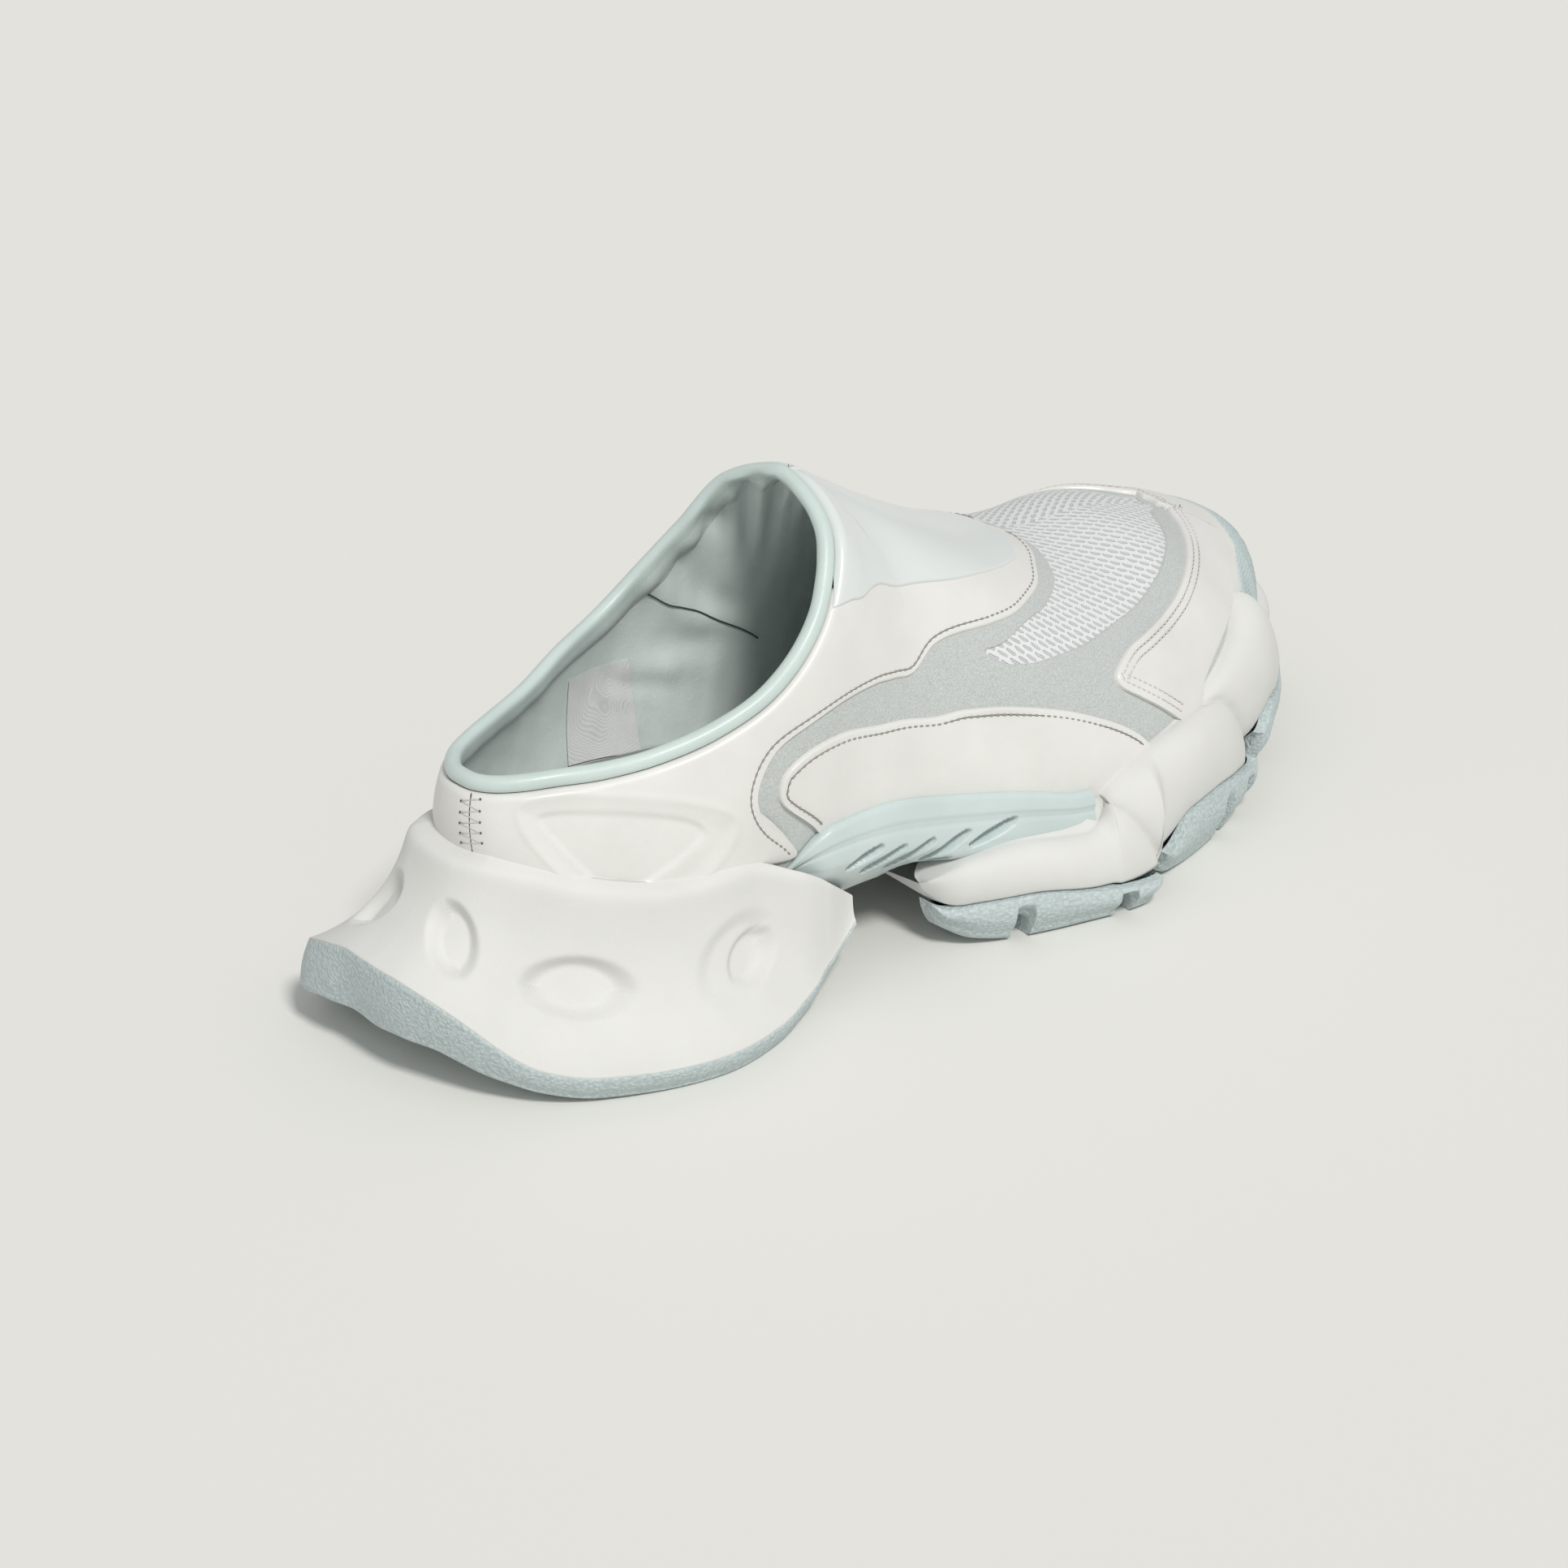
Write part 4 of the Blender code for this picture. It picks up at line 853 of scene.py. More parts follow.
def rubber_look(name, crevice_shade, light, pebble=1050, depth=0.24):
    look, tree = new_look(name)
    warp = node(tree, "ShaderNodeVectorMath", {0: noise_socket(tree, 500, 2), 3: 0.0006}, operation="SCALE")
    place = node(tree, "ShaderNodeVectorMath", {0: place_socket(tree), 1: warp.outputs[0]}, operation="ADD")
    cells = cells_socket(tree, pebble, "SMOOTH_F1", 0.85, place.outputs[0])
    # The crevices between the pebbles are painted darker as shade and the crests take the lighter tone; the same
    # crest also shapes the bumps.
    crest = ramp_socket(tree, cells, 0.62, 0.12)
    base = mix_color(tree, crest, crevice_shade, light)
    blotch = math_socket(tree, "MULTIPLY", noise_socket(tree, 60, 3), 0.3)
    return dress(look, mix_color(tree, blotch, base, light),
                 math_socket(tree, "MULTIPLY_ADD", cells, 0.25, 0.46),
                 [(crest, 0.9, depth), (noise_socket(tree, 3000, 2), 0.2, 0.04)], {"Specular IOR Level": 0.38})


def satin_look(name, light, shade, rough, coat, coat_rough):
    look, tree = new_look(name)
    cloud, speck = noise_socket(tree, 45, 3), noise_socket(tree, 2600, 2)
    return dress(look, mix_color(tree, ramp_socket(tree, cloud, 0.3, 0.75), shade, light),
                 math_socket(tree, "MULTIPLY_ADD", speck, 0.14, rough - 0.07),
                 [(noise_socket(tree, 120, 3), 0.2, 0.25), (speck, 0.2, 0.035)],
                 {"Coat Weight": coat, "Coat Roughness": coat_rough})


def knit_look():
    """White knit with rows of eyelets, each with a half-moon of painted shade in it, laid out on the sheet's own
    chart in metres.
    """
    look, tree = new_look("knit_mesh")

    def calc(operation, *operands, **settings):
        return math_socket(tree, operation, *operands, **settings)
    uv = node(tree, "ShaderNodeUVMap", uv_map="chart").outputs[0]
    axes = node(tree, "ShaderNodeSeparateXYZ", {0: uv}).outputs
    row_place = calc("DIVIDE", axes["Y"], EYELET_ACROSS)
    row_place = calc("MULTIPLY_ADD", noise_socket(tree, 240, 2), 0.5, row_place)
    # Every other row is half an eyelet on
    odd = calc("MULTIPLY", calc("MODULO", calc("FLOOR", row_place), 2.0), 0.5)
    along = calc("ADD", calc("DIVIDE", axes["X"], EYELET_ALONG), odd)
    x, y = (calc("SUBTRACT", calc("FRACT", place), 0.5) for place in (along, row_place))
    x_part = calc("POWER", calc("DIVIDE", x, 0.40), 2.0)
    y_part = calc("POWER", calc("DIVIDE", calc("ADD", y, 0.08), 0.29), 2.0)
    inside = ramp_socket(tree, calc("ADD", x_part, y_part), 1.25, 0.75)
    eyelet = calc("MULTIPLY", inside, ramp_socket(tree, y, 0.16, 0.02), clamp=True)
    ribs = node(tree, "ShaderNodeTexWave", {"Vector": uv, "Scale": 420.0, "Distortion": 0.6, "Detail": 1.0})
    yarn = calc("MULTIPLY", ribs.outputs["Fac"], wave_socket(tree, uv, 520.0, 0.6, "Y"))
    white = mix_color(tree, ramp_socket(tree, yarn, 0.0, 0.8), (0.72, 0.74, 0.75), (0.86, 0.87, 0.88))
    # The eyelets' half-moons are painted grey as the shade inside the holes; their bump sinks them as well.
    return dress(look, mix_color(tree, calc("MULTIPLY", eyelet, 0.62), white, (0.44, 0.45, 0.45)),
                 ramp_socket(tree, yarn, -2.6, 1.0),
                 [(calc("SUBTRACT", 1.0, eyelet), 0.8, 0.35), (yarn, 0.5, 0.10)],
                 {"Sheen Weight": 0.25, "Sheen Roughness": 0.4, "Specular IOR Level": 0.25})


def plain_cloth_look(name, color, shade, scale=900.0):
    look, tree = new_look(name)
    place = place_socket(tree)
    warp, weft = (wave_socket(tree, place, scale, 1.0, direction) for direction in "XY")
    weave = math_socket(tree, "MULTIPLY", warp, weft)
    return dress(look, mix_color(tree, weave, shade, color), ramp_socket(tree, weave, -2.0, 1.4),
                 [(weave, 0.5, 0.12)], {})


WHITE = leather_look("white_leather", (0.79, 0.785, 0.76), (0.74, 0.735, 0.71), 0.42, coat=0.10)
CAP_WHITE = leather_look("cap_leather", (0.78, 0.775, 0.755), (0.73, 0.725, 0.70), 0.36, coat=0.16)
# The lining is the same mint leather as the binding, painted lighter to stand in for the light that reaches
# inside the collar.
LIGHTENED_LINING = leather_look("mint_lining", (0.77, 0.845, 0.82), (0.72, 0.79, 0.77), 0.5, 1200, 0.09, crease=0.5)
BINDING = leather_look("mint_binding", (0.63, 0.725, 0.70), (0.57, 0.665, 0.64), 0.42, 1300, 0.07, coat=0.1)
SUEDE_GREY = suede_look()
FOAM_WHITE = foam_look()
# Each rubber's first colour is the painted shade of its crevices.
RUBBER = rubber_look("pebbled_rubber", (0.44, 0.515, 0.52), (0.59, 0.67, 0.675))
RIBBED = rubber_look("ribbed_rubber", (0.48, 0.58, 0.58), (0.62, 0.70, 0.695), 2400, 0.06)
TPU = satin_look("shank_plastic", (0.62, 0.705, 0.70), (0.55, 0.64, 0.63), 0.38, 0.1, 0.3)
GLOSS = satin_look("instep_gloss", (0.74, 0.78, 0.77), (0.71, 0.755, 0.745), 0.3, 0.4, 0.14)
KNIT = knit_look()
INSOLE_CLOTH = plain_cloth_look("insole_cloth", (0.30, 0.32, 0.31), (0.20, 0.215, 0.21))
THREAD_WHITE = plain_cloth_look("white_thread", (0.80, 0.79, 0.75), (0.60, 0.59, 0.56), 2400.0)
THREAD_GREY = plain_cloth_look("grey_thread", (0.42, 0.41, 0.38), (0.30, 0.29, 0.27), 2400.0)
# Near-black pills: painted shade in the needle holes, and the dark lines of the seams.
HOLE_SHADE_AND_SEAM_LINE = plain_cloth_look("needle_hole", (0.10, 0.095, 0.09), (0.04, 0.04, 0.04), 2000.0)
LABEL_CLOTH = plain_cloth_look("label_cloth", (0.95, 0.95, 0.955), (0.90, 0.90, 0.905), 3300.0)


# Upper

def build_knit():
    """The knitted base, all over the forefoot."""
    grid_u, grid_v = grid(np.linspace(KNIT_START, 2 * TOE - KNIT_START, 300), np.linspace(0, 1, 70))
    points = form(grid_u, grid_v)
    # The eyelet rows run slantwise from the middle line, alike on both sides
    along, girth = points[..., 0], lengths_along(points)
    side = np.where(grid_u <= TOE, -1.0, 1.0)
    aside = side * (girth[:, -1:] - girth)
    turn = -KNIT_TURN * side
    chart_x = along * np.cos(turn) - aside * np.sin(turn)
    chart_y = along * np.sin(turn) + aside * np.cos(turn)
    sheet("upper_knit", points, KNIT, ("upper",), uv=np.stack([chart_x, chart_y], -1))


def build_suede():
    ring = both_halves(edge_curves(SUEDE_RING, 260))
    overlay("suede_ring", ring, 34, SUEDE, 0.5 * MM, SUEDE_GREY, (), -0.1 * MM, second_edge=False)
    tail = edge_curves(SUEDE_TAIL, 90)
    for index, curves in enumerate((tail, [mirror(curve) for curve in tail])):
        points = skin(*split(sheet_grid(curves, 60)[0]), SUEDE)
        sheet(f"suede_tail_{index + 1}", points, SUEDE_GREY, flip=index == 0)


def chart(places):
    """Places as metres round and up the shoe."""
    fine = np.linspace(-TOE, TOE, 2401)
    run = lengths_along(smooth(FOOT, fine))
    around = np.interp(np.abs(places[..., 0]), fine, run) - run[len(run) // 2]
    return np.stack([around, places[..., 1] * PANEL_CHART_HEIGHT], -1)


def outline_distance(points, outline):
    """Distance to a closed outline, above 0 inside it."""
    tiny = 1e-12
    count = len(outline)
    ring = smooth(chart(np.array(outline)), np.linspace(0, count, 12 * count, endpoint=False))
    best = np.full(points.shape[:-1], np.inf)
    inside = np.zeros(points.shape[:-1], bool)
    for a, b in zip(ring, np.roll(ring, -1, axis=0)):
        best = np.minimum(best, segment_gap(points, a, b)[0])
        run = b - a
        crosses = (a[1] > points[..., 1]) != (b[1] > points[..., 1])
        reach = a[0] + (points[..., 1] - a[1]) / (run[1] if abs(run[1]) > tiny else tiny) * run[0]
        inside ^= crosses & (points[..., 0] < reach)
    return np.where(inside, best, -best)


def waves(depth, size, seed):
    """Relief of slight hand-made waviness."""
    return lambda places: depth * noise(form(*split(places)), size, seed)


def quarter_relief(places):
    """The moulded triangle and the waviness."""
    near = np.abs(places[..., 0])
    folded = np.where(near > TOE, 2 * TOE - near, near)
    spot = chart(np.stack([folded, places[..., 1]], -1))
    rim, floor = (outline_distance(spot, outline) for outline in (RECESS_RIM, RECESS_FLOOR))
    sunk = (-RECESS_DEPTH * ease((rim + 0.8 * MM) / (4.5 * MM))
            - FLOOR_STEP * ease((floor + 0.2 * MM) / (1.6 * MM)))
    lip = 0.25 * MM * np.exp(-((rim + 0.6 * MM) / (0.9 * MM)) ** 2)
    return sunk + lip + waves(0.12 * MM, 0.03, 3)(places)


def build_quarter():
    first, second = edge_curves(QUARTER, 430)
    curves = [np.concatenate([curve[:0:-1] * (-1, 1), curve]) for curve in (first, second)]
    overlay("quarter_leather", curves, 54, LEATHER, EDGE_RADIUS, WHITE, ("quarter",),
            0.2 * MM, quarter_relief)
    return first, second


def build_panels():
    panel = edge_curves(SIDE_PANEL, 260)
    cap = both_halves(edge_curves(TOE_CAP, 250))
    far = [mirror(curve)[::-1] for curve in panel]
    for name, curves, steps, look, replaced in (
            ("panel_outer", panel, 46, WHITE, "side_panel_outer"),
            ("panel_inner", far, 46, WHITE, "side_panel_inner"),
            ("toe_cap_leather", cap, 40, CAP_WHITE, "toe_cap")):
        overlay(name, curves, steps, OVERLAY, EDGE_RADIUS, look, (replaced,), 0.3 * MM,
                waves(0.15 * MM, 0.03, 5))
    return panel, cap


def build_shield():
    half = edge_curves(INSTEP_SHIELD, 240)
    for index, curves in enumerate((half, [mirror(curve) for curve in half])):
        overlay(f"instep_gloss_{index + 1}", curves, 60, SHIELD, 1.1 * MM, GLOSS,
                ("instep_shield",), 0.9 * MM, waves(0.1 * MM, 0.05, 9), second_edge=False)


def build_stitches(quarter, panel, cap):
    """Rows of stitches along the leather edges, with dark pills painting the shade of their needle holes."""
    first = quarter[0]
    # The row starts past the corner where the quarter's lower edge leaves the sole
    corner = int(np.argmax(first[:len(first) // 2, 0] - 2 * first[:len(first) // 2, 1]))
    rows = []
    for curves, height in (([curve[corner + 4:-8] for curve in quarter], LEATHER),
                           ([curve[6:-6] for curve in panel], OVERLAY)):
        line = inset_line(curves, STITCH_INSET)
        rows += [(line, height), (mirror(line), height)]
    cap = [curve[6:-6] for curve in cap]
    rows += [(inset_line(cap, inset), OVERLAY) for inset in (STITCH_INSET, 2 * STITCH_INSET)]
    stitches, holes = zip(*(stitch_frames(line, height) for line, height in rows))
    half_length = 0.36 * STITCH_PITCH
    size = (half_length, THREAD, THREAD)
    copies("side_stitches", join_frames(stitches[:-2]), size, THREAD_GREY)
    copies("cap_stitches", join_frames(stitches[-2:]), size, THREAD_WHITE)
    # Flat dark pills painted as the shade in the needle holes.
    copies("needle_hole_shade", join_frames(holes), (PIN_HOLE * 1.35, PIN_HOLE, 0.12 * MM), HOLE_SHADE_AND_SEAM_LINE,
           pill(6, 2))


def build_back_seam():
    """Zigzag seam down the back of the quarter."""
    low = foam_place(0.0)[1] + 0.10
    rises = np.arange(low, 0.975, ZIGZAG_STEP)
    corners = np.stack([np.resize(ZIGZAG, len(rises)), rises], 1)
    points, normals = skin(*split(corners), LEATHER + 0.15 * MM), form_normal(*split(corners))
    run = np.diff(points, axis=0)
    tangent = unit(run)
    frames = [(points[:-1] + points[1:]) / 2, tangent, np.cross(normals[:-1], tangent), normals[:-1]]
    thread = 0.26 * MM
    sizes = [(length / 2, thread, thread) for length in np.linalg.norm(run, axis=1)]
    copies("back_zigzag", frames, sizes, THREAD_WHITE)
    # Dark pills painted as the shade in the zigzag's needle holes.
    holes = (points, *(np.concatenate([axis, axis[-1:]]) for axis in frames[1:]))
    copies("zigzag_hole_shade", holes, (PIN_HOLE, PIN_HOLE, 0.1 * MM), HOLE_SHADE_AND_SEAM_LINE)
    line = np.stack([np.full(80, BACK_SEAM), np.linspace(low - 0.1, 0.985, 80)], -1)
    seam = curve_frames(skin(*split(line), LEATHER), form_normal(*split(line)), 1.2 * MM)
    copies("back_seam_line", seam, (0.75 * MM, 0.20 * MM, 0.10 * MM), HOLE_SHADE_AND_SEAM_LINE)


def rim_path(places, wall):
    """Centre line of the collar roll, with the directions up from the wall and out of it."""
    path = rim_at(places)
    run = unit(np.roll(path, -1, axis=0) - np.roll(path, 1, axis=0))
    up = path - form(wall, 0.93)
    up = unit(up - run * (up * run).sum(-1, keepdims=True))
    normal = np.cross(run, up)
    return path + up * COLLAR_LIFT - normal * UPPER_WALL / 2, up, normal


def gather(places):
    """Puckers near the throat, 0 away from it."""
    near = np.exp(-((places - THROAT - 0.25) / 0.75) ** 2)
    wave = np.sin(places * 13.0 + 1.4 * np.sin(places * 5.0)) + 0.6 * np.sin(places * 24.0 + 1.0)
    return near * wave


def build_collar():
    """Soft roll over the rim, which runs on down the inside as a flap under the lining's edge."""
    places = np.linspace(0, 2 * THROAT, 480, endpoint=False)
    wall = np.where(places <= THROAT, places, 2 * TOE - 2 * THROAT + places)
    center, up, normal = rim_path(places, wall)
    angles = np.linspace(*ROLL_TURN, ROLL_STEPS)
    radius = COLLAR_RADIUS * (1.12 + 0.03 * noise(center, 0.02, 11))
    inward = np.clip(-np.cos(angles), 0, 1)[None, :]
    reach = radius[:, None] + 0.45 * MM * gather(places)[:, None] * inward
    roll = (center[:, None] + reach[..., None] * (np.cos(angles)[None, :, None] * normal[:, None]
                                                  + np.sin(angles)[None, :, None] * up[:, None]))
    flap_u, flap_v = grid(wall, np.linspace(0.975, 0.84, FLAP_STEPS))
    height = np.linspace(1.5, -0.5, FLAP_STEPS)[None, :] * MM
    flap = skin(flap_u, flap_v, -UPPER_WALL - LINING_GAP - height + lining_relief(flap_u, flap_v))
    points = soften(join_columns(roll, flap), ROLL_STEPS - 8, ROLL_STEPS + 9, 6)
    sheet("collar_binding", points[:, :ROLL_STEPS], BINDING, ("collar_roll",), closed=True)
    sheet("collar_flap", points[:, ROLL_STEPS - 1:], LIGHTENED_LINING, closed=True)


def lining_relief(grid_u, grid_v):
    """Height of the lining above the wall: gathers below the throat and soft folds on the sides."""
    rim_place = np.where(grid_u <= TOE, grid_u, grid_u - 2 * TOE + 2 * THROAT)
    fade = ease((grid_v - 0.45) / 0.5)
    gathers = 1.1 * MM * gather(rim_place) * fade
    points = form(grid_u, grid_v)
    side = np.exp(-((station_of(grid_u) - 5.0) / 0.7) ** 2) * ease((grid_v - 0.2) / 0.3)
    wave = points[..., 0] * 230 + points[..., 2] * 330 + 1.5 * noise(points, 0.03, 21)
    folds = 0.9 * MM * side * np.sin(wave)
    return gathers + folds + 0.35 * MM * noise(points, 0.035, 22) + 0.15 * MM * noise(points, 0.008, 23)


def build_lining():
    # In the toe it stops short of the ridge and hangs free of it, where nobody sees it
    short, sunk, hanging, smooth_edge = 0.07, 2.0 * MM, 7.0 * MM, 0.04
    grid_u, grid_v = grid(np.linspace(0, 2 * TOE, 400, endpoint=False), np.linspace(0.02, 1, 60))
    station = station_of(grid_u)
    grid_v = grid_v * (1 - short * ease((station - 8) / 1.5))
    depth = -UPPER_WALL - LINING_GAP + lining_relief(grid_u, grid_v) * ease((1 - grid_v) / smooth_edge)
    points = skin(grid_u, grid_v, depth - sunk * ease((station - 7) / 1.5))
    points[..., 2] -= hanging * ease((station - 8) / 2) * grid_v ** 2
    sheet("lining_leather", points, LIGHTENED_LINING, ("upper",), closed=True, flip=True)
    near = open_curve(LINING_SEAM, np.linspace(0, len(LINING_SEAM) - 1, 160))
    for side, line in (("near", near), ("far", mirror(near))):
        points = skin(*split(line), -UPPER_WALL - 0.55 * MM + lining_relief(*split(line)))
        frames = curve_frames(points, -form_normal(*split(line)), 0.9 * MM)
        copies(f"lining_seam_{side}", frames, (0.62 * MM, 0.24 * MM, 0.18 * MM), HOLE_SHADE_AND_SEAM_LINE)


def build_label():
    """Plain white woven label on the inner wall."""
    low, high = across(*np.array(LABEL), np.linspace(0, 1, 40))
    places = across(low, high, np.linspace(0, 1, 60))
    depth = -UPPER_WALL - 0.75 * MM + lining_relief(*split(places)) * 0.9
    sheet("label", skin(*split(places), depth), LABEL_CLOTH)


def build_insole():
    stations = np.linspace(0, 2 * TOE, 260, endpoint=False)
    share = np.linspace(0, 1, 40)
    middle = spine(stations, bed(stations) + 0.8 * INSOLE)
    edge = smooth(FOOT, stations) - outward(stations) * (UPPER_WALL + 2 * GAP)
    edge[:, 2] += INSOLE
    points = across(middle, edge, share)
    points[..., 2] += 0.25 * MM * noise(points, 0.02, 31) + 1.5 * MM * share[None, :] ** 6
    sheet("insole_top", points, INSOLE_CLOTH, ("insole",), closed=True, flip=True)


# Sole

def heel_curve(u, steps):
    """Skirt of the heel foam: (count, steps, 3) points from its top edge down, and its parts."""
    edge, out = smooth(FOOT, u), outward(u)
    top = heel_table("top", u) * HEEL_LIFT
    rise = rise_at(u, edge[:, 2] + np.maximum(top, 0))
    start = skin(u, rise, 1.3 * GAP)
    sunk = top <= 0
    start[sunk] = (edge + out * GAP)[sunk]
    start[sunk, 2] += top[sunk]
    # In front it lies over the back of the shank
    over = ease((station_of(u) - 3.7) / 0.6) * (1 - 0.7 * ease((station_of(u) - 4.45) / 0.5))
    start += out * ((RAIL + 1.0 * MM) * over)[:, None]
    end = sole_edge(heel_table, HEEL_FLARE, u, "line")
    reach = np.linalg.norm((end - start)[:, :2], axis=1)[:, None]
    drop = (start[:, 2] - end[:, 2])[:, None]
    back = ease(1.3 - np.abs((u + TOE) % (2 * TOE) - TOE) / 1.3)[:, None]
    low = start + out * (0.18 + 0.07 * back) * reach - UP * 0.03 * drop
    handle = low + out * (0.02 + 0.10 * back) * reach - UP * 0.50 * drop
    hem = end - out * (0.42 - 0.04 * back) * reach + UP * 0.12 * drop
    t = np.linspace(0, 1, steps)[None, :, None]
    return start, bezier(t, low[:, None], handle[:, None], hem[:, None], end[:, None]), end, out


def grid_normals(points):
    return unit(np.cross(np.gradient(points, axis=1), np.gradient(points, axis=0)))


def dimple_relief(side, stations):
    """Depth of the moulded dimples, the same on both sides of the heel."""
    relief = np.zeros(side.shape[:2])
    last = len(side) - 1
    for station, share, half_along, half_down, turn, depth in DIMPLES:
        for sign in (1, -1):
            row = int(np.argmin(np.abs(stations - sign * station)))
            place = heel_curve(np.array([sign * station]), 101)[1][0, int(100 * share)]
            step = int(np.argmin(np.linalg.norm(side[row] - place, axis=-1)))
            center = side[row, step]
            along = sign * unit(side[min(row + 3, last), step] - side[row - 3, step])
            up = side[row, step - 3] - side[row, step + 3]
            up = unit(up - along * (up @ along))
            angle = math.radians(turn)
            first = along * math.cos(angle) + up * math.sin(angle)
            second = up * math.cos(angle) - along * math.sin(angle)
            offset = side - center
            a, b = offset @ first / (half_along * MM), offset @ second / (half_down * MM)
            facing = np.linalg.norm(offset, axis=-1) < 3 * half_along * MM
            # The bowl's upper wall is the steeper one
            bowl = ease((1 - np.hypot(a, b)) / np.where(b > 0, 0.42, 0.58))
            relief -= depth * MM * bowl * facing
    return relief


def even_run(points, count):
    """Each row of points resampled at even steps."""
    share = np.linspace(0, 1, count)
    return np.array([resample(row, run, share * run[-1]) for row, run in zip(points, lengths_along(points))])


def soften(points, first, last, passes):
    """Rounds the corners of each row between two of its columns."""
    points = points.copy()
    for _ in range(passes):
        middle = (points[:, :-2] + 2 * points[:, 1:-1] + points[:, 2:]) / 4
        points[:, first:last] = middle[:, first - 1:last - 1]
    return points


def build_heel_foam():
    stations = np.linspace(-HEEL_END, HEEL_END, 480)
    start, side, end, out = heel_curve(stations, 60)
    skirt = soften(even_run(join_columns(start, side), 90), 2, 62, 30)
    relief = dimple_relief(skirt, stations) + 0.15 * MM * noise(skirt, 0.04, 41)
    skirt = skirt + grid_normals(skirt) * relief[..., None]
    points = join_columns(start - UP * 2.5 * MM, skirt, *rounding(end, out, SOLE_EDGE, 5),
                          end - out * 10 * MM - UP * SOLE_EDGE)
    sheet("heel_foam", points, FOAM_WHITE, ("heel_midsole",), flip=True)
    for name, row in (("heel_foam_end_outer", -1), ("heel_foam_end_inner", 0)):
        middle = spine(stations[row], points[row, :, 2].mean())
        sheet(name, fan(points[row], middle), FOAM_WHITE, flip=row == 0)


def rounding(points, out, radius, steps):
    """Lines of points down and in round a lower edge."""
    return [points - UP * radius * math.sin(a) - out * radius * (1 - math.cos(a))
            for a in np.linspace(0, math.pi / 2, steps)[1:]]


def fan(points, middle, steps=10):
    """Grid from a line of points in to a middle point."""
    return points[None] + (middle - points)[None] * np.linspace(0, 1, steps)[:, None, None]


def sole_edge(table, size, u, name):
    """Outer edge of a sole at its "line" or on the "ground", where it is kicked in."""
    flare = table("flare", u) + (table("kick", u) if name == "ground" else 0.0)
    point = smooth(FOOT, u) + outward(u) * (flare * size)[:, None]
    point[:, 2] = table(name, u) * HEEL_LIFT
    return point


def build_heel_rubber():
    stations = np.linspace(-HEEL_END, HEEL_END, 460)
    out = outward(stations)
    line, ground = (sole_edge(heel_table, HEEL_FLARE, stations, name) for name in ("line", "ground"))
    top = line - UP * 1.5 * GAP
    lip = top - out * SOLE_EDGE
    share = np.linspace(0, 1, 18)
    foot = ground + UP * TREAD_ROUND
    wall = across(top - UP * 0.5 * MM + out * 0.3 * MM, foot, share)
    wall += out[:, None] * (0.5 * MM * np.sin(math.pi * share[None, :, None]))
    middle = spine(stations, heel_table("ground", held(stations)) * HEEL_LIFT)
    flat = ground - out * (RAMP * ground[:, 2:] + TREAD_ROUND)
    flat[:, 2] = middle[:, 2]
    points = join_columns(lip - out * 8 * MM, lip, top, wall, *rounding(foot, out, TREAD_ROUND, 6),
                          across(flat, middle, np.linspace(0, 1, 16)))
    sheet("heel_rubber", points, RUBBER, ("heel_outsole",), flip=True, smooth_angle=SHARP_EDGE)


def lobe(station, share):
    """How far the forefoot foam bulges between its creases, at a share of the way down it."""
    station, share = np.broadcast_arrays(np.asarray(station, float), np.asarray(share, float))
    lines = [top + (foot - top) * share for top, foot in CREASES]
    lines.append(2 * TOE - lines[-1])
    out = np.zeros_like(station)
    for start, end in zip(lines, lines[1:]):
        inside = (station >= start) & (station <= end)
        arc = np.clip(np.sin(math.pi * (station - start) / (end - start)), 0, 1) ** 0.5
        out = np.where(inside, arc, out)
    return out


